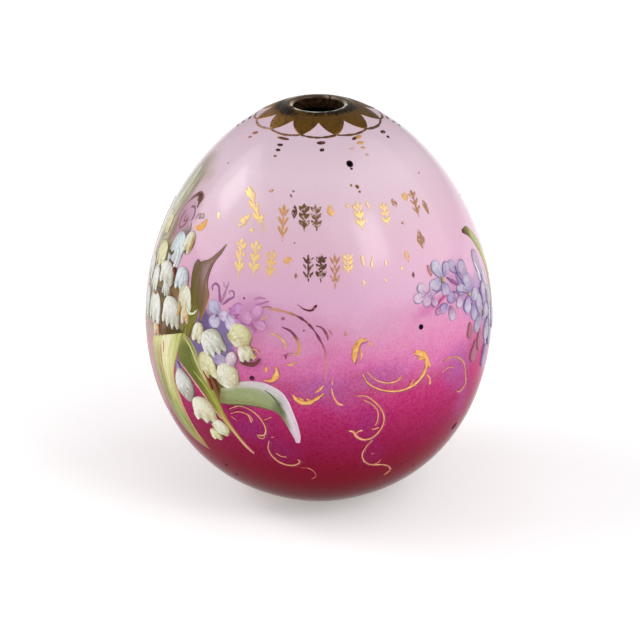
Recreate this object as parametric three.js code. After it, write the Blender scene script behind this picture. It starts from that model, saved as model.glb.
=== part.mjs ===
// Hollow painted porcelain egg with a ribbon hole at each end, in millimetres, +Z up.
// The origin is the centre of the ground foot ring, on the plane the egg stands on.
// Decoration is placed by longitude and latitude in degrees: longitude 0 is the middle of the
// front, which faces -Y, and grows towards +X; latitude 0 is the form's half height.
import * as THREE from "three";

// ---- Driving dimensions, mm ----
const FORM_RADIUS = 39.85;
const FORM_HALF_HEIGHT = 47.7;
const TAPER = 0.093; // share of the radius that the upper half loses
const TIP_SHARPNESS = 0.051; // further loss close to the top
const WALL = 3.0;
const FOOT_RADIUS = 9.0; // outer edge of the flat ground foot ring
const FOOT_HOLE_RADIUS = 5.0;
const RIM_RADIUS = 7.0; // outer edge of the flat rim round the top hole
const RIM_HOLE_RADIUS = 5.8;
const RIM_CHAMFER = 0.4;

// Decoration: how far its underside stands off the glaze, and how thick each kind is.
const BOND_GAP = 0.2;
const GOLD_THICKNESS = 0.15;
const ENAMEL_THICKNESS = 0.25;
const SECOND_COAT_LIFT = 0.65; // underside of enamel laid over other enamel
const THINNEST_HALF_WIDTH = 0.15; // of a brush stroke

// Mesh fineness.
const BODY_SEGMENTS = 48;
const OUTER_ROWS = 24;
const INNER_ROWS = 8;
const STEPS_PER_STATION = 2;

const RAD = Math.PI / 180;
const UP = new THREE.Vector3(0, 0, 1);

// ---- The egg's form ----
function formRadius(lat, radius) {
  const s = Math.sin(lat * RAD);
  return radius * Math.cos(lat * RAD) * (1 - TAPER * s - TIP_SHARPNESS * s ** 3);
}

// Latitude at which the form has the wanted radius, above (sign 1) or below (sign -1) the middle.
function latitudeAt(wanted, radius, sign) {
  let low = 20;
  let high = 90;
  for (let i = 0; i < 50; i++) {
    const mid = (low + high) / 2;
    if (formRadius(sign * mid, radius) > wanted) low = mid;
    else high = mid;
  }
  return sign * low;
}

const FOOT_LAT = latitudeAt(FOOT_RADIUS, FORM_RADIUS, -1);
const RIM_LAT = latitudeAt(RIM_RADIUS, FORM_RADIUS, 1);
const CENTRE_Z = -FORM_HALF_HEIGHT * Math.sin(FOOT_LAT * RAD);
const TOP_Z = CENTRE_Z + FORM_HALF_HEIGHT * Math.sin(RIM_LAT * RAD);

// Point on the outside, raised by lift along the surface normal, with the local directions and
// the millimetres that one degree of longitude and of latitude cover there.
function surface(lon, lat, lift) {
  const s = Math.sin(lat * RAD);
  const c = Math.cos(lat * RAD);
  const r = formRadius(lat, FORM_RADIUS);
  const slope =
    -FORM_RADIUS * s * (1 - TAPER * s - TIP_SHARPNESS * s ** 3) -
    FORM_RADIUS * c * c * (TAPER + 3 * TIP_SHARPNESS * s * s);
  const rise = FORM_HALF_HEIGHT * c;
  const length = Math.hypot(slope, rise);
  const outward = new THREE.Vector3(Math.sin(lon * RAD), -Math.cos(lon * RAD), 0);
  const normal = outward.clone().multiplyScalar(rise / length).addScaledVector(UP, -slope / length);
  const point = outward.clone().multiplyScalar(r);
  point.z = CENTRE_Z + FORM_HALF_HEIGHT * s;
  point.addScaledVector(normal, lift);
  const east = new THREE.Vector3(Math.cos(lon * RAD), Math.sin(lon * RAD), 0);
  return { point, normal, east, mmPerLon: r * RAD, mmPerLat: length * RAD };
}

// Longitude and latitude of the spot that lies right and up, in mm, of a given one.
function offset(lon, lat, right, up) {
  const { mmPerLat } = surface(lon, lat, 0);
  const newLat = lat + up / mmPerLat;
  const { mmPerLon } = surface(lon, newLat, 0);
  return [lon + right / mmPerLon, newLat];
}

function bodyGeometry() {
  const profile = [];
  for (let i = 0; i <= OUTER_ROWS; i++) {
    const lat = FOOT_LAT + ((RIM_LAT - FOOT_LAT) * i) / OUTER_ROWS;
    const z = CENTRE_Z + FORM_HALF_HEIGHT * Math.sin(lat * RAD);
    profile.push(new THREE.Vector2(formRadius(lat, FORM_RADIUS), z));
  }
  profile.push(new THREE.Vector2(RIM_HOLE_RADIUS + RIM_CHAMFER, TOP_Z));
  profile.push(new THREE.Vector2(RIM_HOLE_RADIUS, TOP_Z - RIM_CHAMFER));
  const innerTop = latitudeAt(RIM_HOLE_RADIUS, FORM_RADIUS - WALL, 1);
  const innerFoot = latitudeAt(FOOT_HOLE_RADIUS, FORM_RADIUS - WALL, -1);
  for (let i = 0; i <= INNER_ROWS; i++) {
    const lat = innerTop + ((innerFoot - innerTop) * i) / INNER_ROWS;
    const z = CENTRE_Z + (FORM_HALF_HEIGHT - WALL) * Math.sin(lat * RAD);
    profile.push(new THREE.Vector2(formRadius(lat, FORM_RADIUS - WALL), z));
  }
  profile.push(new THREE.Vector2(FOOT_HOLE_RADIUS, 0));
  profile.push(profile[0].clone());
  const geometry = new THREE.LatheGeometry(profile, BODY_SEGMENTS);
  geometry.rotateX(Math.PI / 2);
  return geometry;
}

// ---- Closed skins that follow the egg ----
// A closed solid from a sheet of [lon, lat] spots and the triangles that join them: the sheet is
// laid twice, at the lower and the upper lift, and its free edges are walled.
function skin(spots, triangles, lift, thickness) {
  const positions = [];
  for (const height of [lift, lift + thickness]) {
    for (const [lon, lat] of spots) positions.push(...surface(lon, lat, height).point.toArray());
  }
  const top = spots.length;
  const edges = new Map();
  const index = [];
  for (const [a, b, c] of triangles) {
    index.push(a + top, b + top, c + top, a, c, b);
    for (const [p, q] of [[a, b], [b, c], [c, a]]) {
      if (!edges.delete(q + "_" + p)) edges.set(p + "_" + q, [p, q]);
    }
  }
  for (const [p, q] of edges.values()) index.push(p, q, q + top, p, q + top, p + top);
  const geometry = new THREE.BufferGeometry();
  geometry.setAttribute("position", new THREE.Float32BufferAttribute(positions, 3));
  geometry.setIndex(index);
  geometry.computeVertexNormals();
  return geometry;
}

// A brush stroke or leaf: stations are [lon, lat, half width in mm] along its middle, and sides
// are the places across it, as shares of the half width, that get a row of vertices.
function stroke(stations, sides, lift, thickness) {
  const steps = STEPS_PER_STATION * stations.length;
  const path = new THREE.CatmullRomCurve3(
    stations.map(([lon, lat, half]) => new THREE.Vector3(lon, lat, half)),
    false,
    "centripetal",
  );
  const spots = [];
  const triangles = [];
  for (let i = 0; i <= steps; i++) {
    const here = path.getPoint(i / steps);
    const before = path.getPoint(Math.max(0, i - 0.5) / steps);
    const after = path.getPoint(Math.min(steps, i + 0.5) / steps);
    const { mmPerLon, mmPerLat } = surface(here.x, here.y, 0);
    const right = (after.x - before.x) * mmPerLon;
    const up = (after.y - before.y) * mmPerLat;
    const size = Math.hypot(right, up);
    const half = Math.max(here.z, THINNEST_HALF_WIDTH);
    for (const side of sides) {
      const reach = side * half;
      spots.push(offset(here.x, here.y, (-up / size) * reach, (right / size) * reach));
    }
    if (i === 0) continue;
    for (let k = 0; k < sides.length - 1; k++) {
      const left = i * sides.length + k;
      const leftBefore = left - sides.length;
      triangles.push([left, leftBefore, leftBefore + 1], [left, leftBefore + 1, left + 1]);
    }
  }
  return skin(spots, triangles, lift, thickness);
}

// A petal, bell or floret: a patch about a centre whose edge lies at outline(angle) = [right, up]
// in mm, turned by tilt degrees.
function patch([lon, lat], outline, tilt, points) {
  const spots = [[lon, lat]];
  const triangles = [];
  const cos = Math.cos(tilt * RAD);
  const sin = Math.sin(tilt * RAD);
  for (let i = 0; i < points; i++) {
    const [x, y] = outline((i * 2 * Math.PI) / points);
    spots.push(offset(lon, lat, x * cos - y * sin, x * sin + y * cos));
    triangles.push([0, 1 + i, 1 + ((i + 1) % points)]);
  }
  return skin(spots, triangles, SECOND_COAT_LIFT, ENAMEL_THICKNESS);
}

// A lily-of-the-valley bell, mouth down: a dome whose skirt flares and ends in curled tips.
const BELL_TIPS = 3;
const BELL_TIP_DEPTH = 0.16; // share of the half height
const BELL_FLARE = 0.12; // share of the half width
const BELL_POINTS = 18;
function bell(centre, width, height, tilt) {
  const outline = (angle) => {
    const skirt = Math.max(0, -Math.sin(angle));
    const curl = BELL_TIP_DEPTH * skirt * Math.cos(2 * BELL_TIPS * (angle + Math.PI / 2));
    const flare = 1 + BELL_FLARE * skirt;
    return [(width / 2) * Math.cos(angle) * flare, (height / 2) * (Math.sin(angle) - curl)];
  };
  return patch(centre, outline, tilt, BELL_POINTS);
}

// A lilac floret: round petals about a centre, with notches that reach half way in.
const NOTCH_DEPTH = 0.5;
const PETAL_FULLNESS = 0.7; // below 1 the petals are blunter
const POINTS_PER_PETAL = 4;
function floret(centre, radius, petals, tilt) {
  const outline = (angle) => {
    const lobe = Math.abs(Math.cos((petals * angle) / 2)) ** PETAL_FULLNESS;
    const r = radius * (1 - NOTCH_DEPTH + NOTCH_DEPTH * lobe);
    return [r * Math.cos(angle), r * Math.sin(angle)];
  };
  return patch(centre, outline, tilt, POINTS_PER_PETAL * petals);
}

const leaf = (stations) => stroke(stations, [1, 0, -1], BOND_GAP, ENAMEL_THICKNESS);
const scroll = (stations) => stroke(stations, [1, -1], BOND_GAP, GOLD_THICKNESS);

// ---- Gilded collar: pointed petals round a hole, joined by a scalloped outline ----
// From the rim to the petal tips the collar is a grid of columns; the cells between petals are
// left open as windows, and the outermost row is the scalloped line that closes them.
// Latitudes of the inner edge, the heads of the windows and the petal tips, and in degrees how far
// the scallops reach beyond the tips and how wide the line is.
const ROSETTE_PETALS = 11;
const COLUMNS_PER_PETAL = 4;
const WINDOW_SHOULDER = 0.75; // how far down a window's head has fallen at the middle of a petal
const TOP_ROSETTE = { inner: 75.8, head: 72.5, tip: 66.4, scallop: 0.7, line: 0.5 };
const FOOT_ROSETTE = { inner: -75, head: -72.5, tip: -67.5, scallop: -0.7, line: -0.5 };

function rosette({ inner, head, tip, scallop, line }) {
  const rows = [0, 1, 2, 3];
  const columns = ROSETTE_PETALS * COLUMNS_PER_PETAL;
  const spots = [];
  const triangles = [];
  const turn = Math.sign(inner);
  for (let i = 0; i < columns; i++) {
    const lon = (i * 360) / columns;
    const bulge = Math.cos(((lon * ROSETTE_PETALS) / 2) * RAD) ** 2;
    const edge = tip - scallop * bulge;
    const opening = head - (head - edge) * WINDOW_SHOULDER * (1 - bulge);
    const lats = [inner, opening, edge + line, edge];
    for (const k of rows) spots.push([turn * lon, lats[k]]);
  }
  for (let i = 0; i < columns; i++) {
    const withinPetal = i % COLUMNS_PER_PETAL;
    const isWindow = withinPetal === 0 || withinPetal === COLUMNS_PER_PETAL - 1;
    for (const k of [0, 1, 2]) {
      if (k === 1 && isWindow) continue;
      const a = 4 * i + k;
      const b = 4 * ((i + 1) % columns) + k;
      triangles.push([a, a + 1, b + 1], [a, b + 1, b]);
    }
  }
  return skin(spots, triangles, BOND_GAP, GOLD_THICKNESS);
}

// ---- Where the decoration lies: [lon, lat] in degrees, sizes in mm ----
const LEAVES = {
  leaf_tall: [
    [-37, 28.5, 0.2], [-41.5, 25, 1.1], [-44.5, 21, 2], [-45, 16, 2.6], [-44.5, 11, 2.4], [-44.5, 6, 1.6],
  ],
  leaf_light: [
    [-63.5, 1, 3.2], [-63, -5, 4.4], [-62, -12, 4.4], [-60, -20, 3.4], [-55.5, -27.5, 2.2], [-46, -35, 0.3],
  ],
  leaf_blade: [
    [-49.5, 2.5, 1.4], [-48.5, -3, 2.7], [-44, -8.5, 2.2], [-37.5, -15, 1.6], [-30, -23.5, 1.2], [-23.5, -31, 0.3],
  ],
  leaf_drooping: [
    [-32, -11.5, 1.6], [-27, -10.5, 2.4], [-20.5, -10, 2.8], [-14.5, -11, 2.4], [-10, -14, 1.5], [-7, -24.5, 0.5],
  ],
  leaf_edge_stem: [
    [69.5, 25.5, 0.3], [76, 23.5, 0.9], [81, 19, 1.1], [84.5, 13, 0.9], [87.5, 5, 0.5],
  ],
  leaf_back_long: [
    [150, 22, 0.2], [146, 12, 1.6], [146, 0, 2.8], [150, -12, 2.6], [158, -24, 1.4], [166, -31, 0.3],
  ],
  leaf_back_short: [
    [118, 16, 0.3], [124, 8, 1.8], [129, -2, 2.4], [131, -12, 1.8], [129, -22, 0.4],
  ],
};

const SCROLLS = {
  scroll_centre_outer: [
    [-18, 14, 0.3], [-10, 13.3, 0.4], [-2, 9.5, 0.4], [2, 3.5, 0.4], [2, -5.5, 0.3],
  ],
  scroll_centre_inner: [
    [-12, 9.5, 0.2], [-9, 8.5, 0.4], [-6.5, 6, 0.6], [-6.3, 3.4, 0.6], [-7.5, 1.8, 0.3],
  ],
  scroll_hook: [[-13.5, -1.2, 0.3], [-13.4, -3.7, 0.6], [-14.7, -5.5, 0.5], [-17.5, -5.7, 0.3]],
  scroll_crescent: [[-8.2, -9, 0.3], [-6.2, -11, 0.6], [-3.5, -11.3, 0.7], [1.5, -8.8, 0.3]],
  scroll_comma: [[15.5, 5.6, 0.3], [13, 5.2, 0.6], [11.5, 3.2, 0.9], [11.2, 0.2, 0.3]],
  scroll_right_upper: [
    [14, -3.4, 0.25], [17, -7, 0.4], [25, -9.6, 0.5], [32.5, -8.6, 0.5], [36.5, -4, 0.7], [35.2, -0.8, 0.9],
    [32, -0.2, 0.3],
  ],
  scroll_right_upper_inner: [[15.8, -3.2, 0.2], [19, -5.7, 0.35], [23, -6.7, 0.4], [27.5, -6, 0.2]],
  scroll_right_lower: [
    [12, -9.6, 0.25], [17, -11.2, 0.4], [21.3, -17, 0.45], [20, -22.5, 0.45], [16, -24.2, 0.5], [12, -22, 0.8],
    [10.5, -20.6, 0.4],
  ],
  scroll_right_lower_inner: [[15.5, -12.5, 0.2], [18.8, -15.5, 0.35], [18.6, -19.6, 0.3]],
  scroll_right_tail: [
    [18, -26, 0.3], [15.7, -30, 0.35], [17.7, -34.2, 0.35], [22.5, -35.6, 0.3], [29, -40, 0.3], [27.5, -42.5, 0.2],
  ],
  scroll_left_lower: [
    [-30.5, -16.6, 0.25], [-24, -14.7, 0.35], [-19.5, -17.2, 0.35], [-17.8, -20.8, 0.4], [-20.3, -23.8, 0.6],
  ],
  scroll_low_wave: [
    [-17, -25.2, 0.2], [-16.8, -31, 0.35], [-12.5, -34, 0.5], [-7.8, -33, 0.4],
  ],
  scroll_far_right: [
    [44, -4.8, 0.25], [50, -5, 0.4], [55, -9, 0.5], [56.5, -14, 0.35], [53, -16.8, 0.5],
  ],
  scroll_far_left: [
    [-61.5, 34, 0.3], [-65, 37.5, 0.8], [-70, 35, 0.5], [-72, 30.5, 0.4], [-69, 26.5, 0.3],
  ],
  scroll_back_left: [
    [-172, 4, 0.3], [-160, -4, 0.5], [-146, -3, 0.6], [-140, 6, 0.7], [-147, 13, 0.6], [-154, 10, 0.3],
  ],
  scroll_back_low: [
    [-166, -30, 0.3], [-156, -22, 0.45], [-142, -20, 0.5], [-133, -27, 0.6], [-138, -35, 0.3],
  ],
};

// Bells: centre, width, height and tilt in degrees.
const BELLS = {
  bell_upper_grey: [[-65, 23.5], 5, 7, 8],
  bell_upper_cream: [[-57, 25.3], 3.4, 5.8, 0],
  bell_edge_upper: [[-75.5, 18], 4.6, 5.6, 10],
  bell_mid_grey: [[-65.2, 14.8], 4.4, 5, 8],
  bell_mid_blue: [[-55.5, 16.2], 4.6, 6, 5],
  bell_big_white: [[-57.2, 6], 6, 6.4, 0],
  bell_cream_side: [[-50.4, 9], 3.4, 6.4, -8],
  bell_edge_lower: [[-68, 4.5], 4.6, 6.4, 5],
  bell_round_white: [[-37, 2.2], 5, 5.6, -12],
  bell_yellow: [[-26, 5.6], 5, 4.6, -20],
  bell_pair_left: [[-38.5, -5.2], 4.4, 5.6, 15],
  bell_pair_right: [[-30, -6.2], 4.8, 5.8, 8],
  bud_upper: [[-49.5, -13.5], 3.6, 5.6, 12],
  bud_middle: [[-41, -19.2], 6.4, 5.6, 15],
  bud_lower: [[-36, -25.6], 4.6, 4.6, -30],
};

// Florets: centre, radius, number of petals and turn in degrees.
const FLORETS = {
  lilac_left: [[-35.7, 10], 2.9, 4, 20],
  lilac_right_top: [[47.4, 17], 3.8, 4, 30],
  lilac_right_pale: [[37.5, 13.6], 3, 4, 0],
  lilac_right_bud: [[57.5, 18], 2.6, 3, 10],
  lilac_right_small: [[48.3, 9.8], 2.5, 3, 60],
  lilac_right_full: [[60, 9.6], 3.6, 4, 10],
  lilac_right_low: [[66.8, 1], 3.4, 4, 40],
  lilac_back_top: [[137, 14], 3.6, 4, 15],
  lilac_back_low: [[139, 3], 3.2, 4, 50],
};

// Upright gilt sprigs in two rows across the upper front: longitude, lean in mm and length in mm.
const SPRIG_ROWS = {
  upper: { lat: 39.5, sprigs: [[-29, 5, 10], [-7, 0, 8], [-1.5, 0, 8], [17, -1.5, 8], [44, -3, 7]] },
  lower: { lat: 25.5, sprigs: [[-28.5, -1, 9], [-14, -1.5, 6], [1, 0, 8], [12, -0.5, 5]] },
};
const SPRIG_HALF_WIDTH = 0.8;
const SPRIG_TIP_HALF_WIDTH = 0.2;

function sprig(lon, lat, lean, length) {
  const station = (share, half) => [...offset(lon, lat, -lean * share, length * share), half];
  return scroll([
    station(-0.5, SPRIG_TIP_HALF_WIDTH),
    station(0, SPRIG_HALF_WIDTH),
    station(0.5, SPRIG_TIP_HALF_WIDTH),
  ]);
}

// ---- Materials and assembly ----
const material = (color, roughness, metalness) =>
  new THREE.MeshStandardMaterial({ color, roughness, metalness });
const glaze = material(0xd27fa9, 0.22, 0);
const gold = material(0xc8913c, 0.35, 1);
const greenEnamel = material(0x8f9a4c, 0.35, 0);
const whiteEnamel = material(0xe6e4d2, 0.35, 0);
const lilacEnamel = material(0xb7b4d8, 0.35, 0);

const egg = new THREE.Group();
function add(name, geometry, finish) {
  const mesh = new THREE.Mesh(geometry, finish);
  mesh.name = name;
  egg.add(mesh);
}

add("porcelain_body", bodyGeometry(), glaze);
add("gilt_rosette_top", rosette(TOP_ROSETTE), gold);
add("gilt_rosette_foot", rosette(FOOT_ROSETTE), gold);
for (const [name, stations] of Object.entries(LEAVES)) add(name, leaf(stations), greenEnamel);
for (const [name, stations] of Object.entries(SCROLLS)) add(name, scroll(stations), gold);
for (const [name, shape] of Object.entries(BELLS)) add(name, bell(...shape), whiteEnamel);
for (const [name, shape] of Object.entries(FLORETS)) add(name, floret(...shape), lilacEnamel);
for (const [row, { lat, sprigs }] of Object.entries(SPRIG_ROWS)) {
  sprigs.forEach(([lon, lean, length], i) => {
    add(`gilt_sprig_${row}_${i + 1}`, sprig(lon, lat, lean, length), gold);
  });
}

export default egg;
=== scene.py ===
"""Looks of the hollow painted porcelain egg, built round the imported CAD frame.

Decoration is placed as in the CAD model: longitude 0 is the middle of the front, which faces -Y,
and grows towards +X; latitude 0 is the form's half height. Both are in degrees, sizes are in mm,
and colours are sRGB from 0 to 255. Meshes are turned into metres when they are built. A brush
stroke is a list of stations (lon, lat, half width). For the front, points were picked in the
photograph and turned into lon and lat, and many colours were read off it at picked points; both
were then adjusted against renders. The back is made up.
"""
import math

import bmesh
import bpy
import numpy as np
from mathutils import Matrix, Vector


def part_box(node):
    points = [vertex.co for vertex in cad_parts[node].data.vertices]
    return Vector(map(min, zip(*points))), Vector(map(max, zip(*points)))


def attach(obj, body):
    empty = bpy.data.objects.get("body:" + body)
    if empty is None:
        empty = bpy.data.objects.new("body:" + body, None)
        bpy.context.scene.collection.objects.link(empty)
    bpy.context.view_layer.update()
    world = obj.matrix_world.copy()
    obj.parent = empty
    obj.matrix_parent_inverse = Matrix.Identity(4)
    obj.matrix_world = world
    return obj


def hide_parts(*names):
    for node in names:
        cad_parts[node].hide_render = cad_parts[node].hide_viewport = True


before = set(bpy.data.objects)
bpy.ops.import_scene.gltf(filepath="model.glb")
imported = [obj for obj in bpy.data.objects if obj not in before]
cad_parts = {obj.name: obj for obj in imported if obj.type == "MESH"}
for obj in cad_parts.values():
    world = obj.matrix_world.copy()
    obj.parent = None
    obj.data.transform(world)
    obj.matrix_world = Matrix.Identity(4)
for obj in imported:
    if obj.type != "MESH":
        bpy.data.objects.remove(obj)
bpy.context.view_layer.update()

MM = 0.001

# ---- The egg's form, worked out from the frame ----
TAPER = 0.093  # share of the radius that the upper half loses
TIP_SHARPNESS = 0.051  # further loss close to the top
RIM_RADIUS = 7.0
RIM_HOLE_RADIUS = 5.8
RIM_CHAMFER = 0.4
FOOT_RADIUS = 9.0
FOOT_HOLE_RADIUS = 5.0
FOOT_RING = (FOOT_HOLE_RADIUS, 6.0, 7.5)  # radii across the ground ring, out to the glaze
WALL = 3.0
WIDEST_LATS = np.linspace(-30, 30, 601)  # the form is widest somewhere among these
LATITUDE_SEARCH = (20.0, 90.0)  # the rims and the foot lie between these, above or below
HALVINGS = 50  # far more than a float can tell apart


def unit_radius(lat):
    """Radius of the form at a latitude, as a share of the form radius."""
    s = np.sin(np.radians(lat))
    return np.cos(np.radians(lat)) * (1 - TAPER * s - TIP_SHARPNESS * s**3)


def latitude_at(radius, form_radius, sign):
    """Latitude above (sign 1) or below (sign -1) the middle where the form has that radius."""
    low, high = LATITUDE_SEARCH
    for _ in range(HALVINGS):
        middle = (low + high) / 2
        if form_radius * unit_radius(sign * middle) > radius:
            low = middle
        else:
            high = middle
    return sign * low


body_low, body_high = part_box("porcelain_body")
EGG_WIDTH = (body_high.x - body_low.x) / MM
EGG_HEIGHT = (body_high.z - body_low.z) / MM
FORM_RADIUS = EGG_WIDTH / 2 / unit_radius(WIDEST_LATS).max()
FOOT_LAT = latitude_at(FOOT_RADIUS, FORM_RADIUS, -1)
RIM_LAT = latitude_at(RIM_RADIUS, FORM_RADIUS, 1)
FORM_HALF_HEIGHT = EGG_HEIGHT / (math.sin(math.radians(RIM_LAT)) - math.sin(math.radians(FOOT_LAT)))
CENTRE_Z = -FORM_HALF_HEIGHT * math.sin(math.radians(FOOT_LAT))


def slopes(lat):
    """Change of radius and of height per radian of latitude, in mm."""
    s = np.sin(np.radians(lat))
    c = np.cos(np.radians(lat))
    taper = 1 - TAPER * s - TIP_SHARPNESS * s**3
    inward = -FORM_RADIUS * (s * taper + c * c * (TAPER + 3 * TIP_SHARPNESS * s * s))
    return inward, FORM_HALF_HEIGHT * c


def mm_per_degree(lat):
    """Millimetres covered by one degree of longitude and by one of latitude."""
    inward, rise = slopes(lat)
    return FORM_RADIUS * unit_radius(lat) * math.pi / 180, np.hypot(inward, rise) * math.pi / 180


def surface(lon, lat, lift=0.0):
    """Points on the outside, in mm, raised by lift along the surface normal."""
    inward, rise = slopes(lat)
    size = np.hypot(inward, rise)
    radius = FORM_RADIUS * unit_radius(lat) + lift * rise / size
    height = CENTRE_Z + FORM_HALF_HEIGHT * np.sin(np.radians(lat)) - lift * inward / size
    turn = np.radians(lon)
    return np.stack([radius * np.sin(turn), -radius * np.cos(turn), height + 0 * turn], -1)


def offset(lon, lat, right, up):
    """Longitude and latitude of the spots that lie right and up, in mm, of a given spot."""
    new_lat = lat + up / mm_per_degree(lat)[1]
    return lon + right / mm_per_degree(new_lat)[0], new_lat


def lon_apart(lon, other):
    """Degrees from other to lon the short way round, from -180 to 180."""
    return (lon - other + 180) % 360 - 180


# ---- Colour helpers ----
def mix(a, b, share):
    """Colours from a to b by share, which is a number or one number per row."""
    share = np.clip(np.asarray(share, float), 0, 1)
    if share.ndim:
        share = share[..., None]
    return np.asarray(a, float) * (1 - share) + np.asarray(b, float) * share


def ease(low, high, x):
    """A smooth step from 0 at low to 1 at high; low may be the greater of the two."""
    t = np.clip((np.asarray(x, float) - low) / (high - low), 0, 1)
    return t * t * (3 - 2 * t)


def gradient(stops, x):
    """Colours at x along [(position, colour), ...] in rising order of position."""
    places = [place for place, _ in stops]
    return np.stack([np.interp(x, places, [c[k] for _, c in stops]) for k in range(3)], -1)


def strengthen(colours, vivid):
    """Colours moved away from their own grey, vivid times as far."""
    grey = colours.mean(-1, keepdims=True)
    return grey + (colours - grey) * vivid


def cloud(x, y, size, seed, waves=7):
    """Smooth random field, mostly from -1.5 to 1.5, whose patches are about size across."""
    rng = np.random.default_rng(seed)
    total = 0.0
    for _ in range(waves):
        angle, phase = rng.uniform(0, 2 * math.pi, 2)
        pace = math.pi / size * rng.uniform(0.6, 1.8)
        total = total + np.sin(pace * (x * math.cos(angle) + y * math.sin(angle)) + phase)
    return total / math.sqrt(waves)


def to_linear(colours):
    """sRGB from 0 to 255 as linear light from 0 to 1."""
    c = np.clip(np.asarray(colours, float) / 255, 0, 1)
    return np.where(c <= 0.04045, c / 12.92, ((c + 0.055) / 1.055) ** 2.4)


# ---- The sprayed ground and its washes ----
# Latitude and colour.
GROUND = [
    (-70, (88, 6, 18)), (-52, (98, 4, 20)), (-42, (118, 3, 31)), (-34, (131, 18, 50)),
    (-26, (148, 31, 75)), (-19, (167, 44, 94)), (-13, (187, 60, 115)), (-8, (191, 86, 132)),
    (-3, (213, 116, 168)), (3, (219, 139, 180)), (9, (218, 156, 188)), (15, (222, 172, 202)),
    (24, (225, 180, 203)), (36, (225, 190, 206)), (50, (229, 202, 215)), (66, (219, 192, 206)),
    (80, (218, 190, 204)),
]
VIOLET_CLOUD = (168, 96, 160)
DEEP_VIOLET = (142, 52, 120)
PALE_MAUVE = (206, 150, 190)
OLIVE_SHADE = (112, 96, 48)
OCHRE = (126, 92, 50)
DARK_OLIVE = (78, 62, 26)
GREY_GREEN = (150, 150, 118)
MOSS = (128, 128, 66)
MAUVE_BROWN = (150, 108, 108)
EVEN_LAT = 40  # the ground's bands waver most at the middle, and not at all beyond this latitude

# Washes of colour: lon, lat, half width, half height (mm), tilt (degrees), colour, strength, softness.
WASHES = [
    # violet clouds under the gilt scrolls
    (20, -5, 7, 3, 10, VIOLET_CLOUD, 0.45, 0.9),
    (1, -7, 7, 3.5, 0, VIOLET_CLOUD, 0.55, 0.9),
    (7, -12, 4, 3.5, 0, VIOLET_CLOUD, 0.35, 0.9),
    (52, -9, 6, 6.5, -10, VIOLET_CLOUD, 0.6, 0.8),
    (57, -20, 3.5, 6, 0, VIOLET_CLOUD, 0.45, 0.9),
    (16, -18, 5, 6, 0, DEEP_VIOLET, 0.35, 0.9),
    (-22, -20, 6, 4.5, 0, DEEP_VIOLET, 0.4, 0.9),
    (-13, -30, 5, 4, 0, DEEP_VIOLET, 0.3, 0.9),
    (20, -31, 4, 4, 0, DEEP_VIOLET, 0.3, 0.9),
    (-8, 8, 8, 5, -10, PALE_MAUVE, 0.45, 0.9),
    (-19, 12, 6, 4, -10, PALE_MAUVE, 0.6, 0.8),
    (-22, 13.5, 4.5, 2.6, -10, (192, 128, 174), 0.5, 0.9),
    (40, 11, 5.5, 1.6, 15, (196, 96, 158), 0.55, 0.9),
    # foliage behind the lilies of the valley at the left edge
    (-82, 33, 7, 14, -8, GREY_GREEN, 0.75, 0.6),
    (-79, 27, 3, 8, -8, (176, 178, 132), 0.6, 0.7),
    (-70, 25, 4, 7, -12, MAUVE_BROWN, 0.65, 0.7),
    (-66, 31, 4.5, 5, -10, (190, 146, 168), 0.7, 0.7),
    (-61, 27, 2.2, 2, 20, (130, 120, 106), 0.7, 0.7),
    (-72, 20, 3.6, 3.2, 0, (170, 168, 110), 0.85, 0.5),
    (-69, 17, 4.4, 4.6, 0, OLIVE_SHADE, 0.95, 0.35),
    (-78, 12, 6, 9, 0, (132, 128, 92), 0.9, 0.45),
    (-61, 11, 5.8, 5.6, 0, OCHRE, 0.95, 0.3),
    (-66, 8, 5.4, 6.4, 0, (112, 92, 48), 0.95, 0.35),
    (-51, 13.5, 2.2, 1.6, 0, (220, 152, 138), 0.9, 0.5),
    (-55, 1, 7.5, 3.2, -12, DARK_OLIVE, 0.97, 0.3),
    (-66, 0, 4.4, 4.6, 0, (150, 116, 84), 0.9, 0.4),
    (-76, 0, 5, 7, 0, (150, 128, 108), 0.85, 0.5),
    (-70, -14, 5, 14, 0, (186, 176, 150), 0.6, 0.6),
    (-47, 5, 2.2, 4.5, -10, MOSS, 0.95, 0.4),
    # violet shadow among the lilac at the left
    (-40.2, 6.8, 2.4, 3.2, 10, (104, 86, 134), 0.95, 0.35),
    (-33.5, 6.6, 3.8, 2, -10, (130, 112, 158), 0.95, 0.4),
    (-31, 3.2, 2, 4.8, 22, (134, 116, 162), 0.95, 0.35),
    (-41.5, -0.6, 3.6, 2.2, -25, (120, 106, 150), 0.95, 0.35),
    (-34, -1.5, 3.4, 2.4, -10, (162, 148, 184), 0.95, 0.4),
    (-51, -9.5, 1.5, 3.6, 22, (140, 128, 168), 0.9, 0.5),
    (-35, -7.6, 2.4, 3.6, 10, (142, 66, 44), 0.95, 0.4),
    (-33.5, -11, 2.6, 2.2, -20, (118, 104, 56), 0.95, 0.4),
    (-21, 8, 3.6, 4.2, 0, (196, 120, 160), 0.55, 0.8),
    (-47, -16, 3.4, 2.5, -40, (150, 40, 92), 0.5, 0.8),
    (-30, -15.6, 6, 1.6, -4, (120, 22, 66), 0.5, 0.9),
    (-22, -23.5, 10, 3, -20, DEEP_VIOLET, 0.25, 0.9),
    # shade among the lilac at the right
    (55, 14, 5, 6, 0, (182, 126, 172), 0.6, 0.9),
    (63, 8, 6, 5, -15, (150, 122, 176), 0.7, 0.7),
    (72, 4, 5, 11, 0, (170, 150, 184), 0.75, 0.6),
    (73, -9, 3.4, 8, 0, (160, 134, 172), 0.75, 0.6),
    (60, -5, 4, 5, -10, (176, 92, 120), 0.5, 0.8),
]

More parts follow.
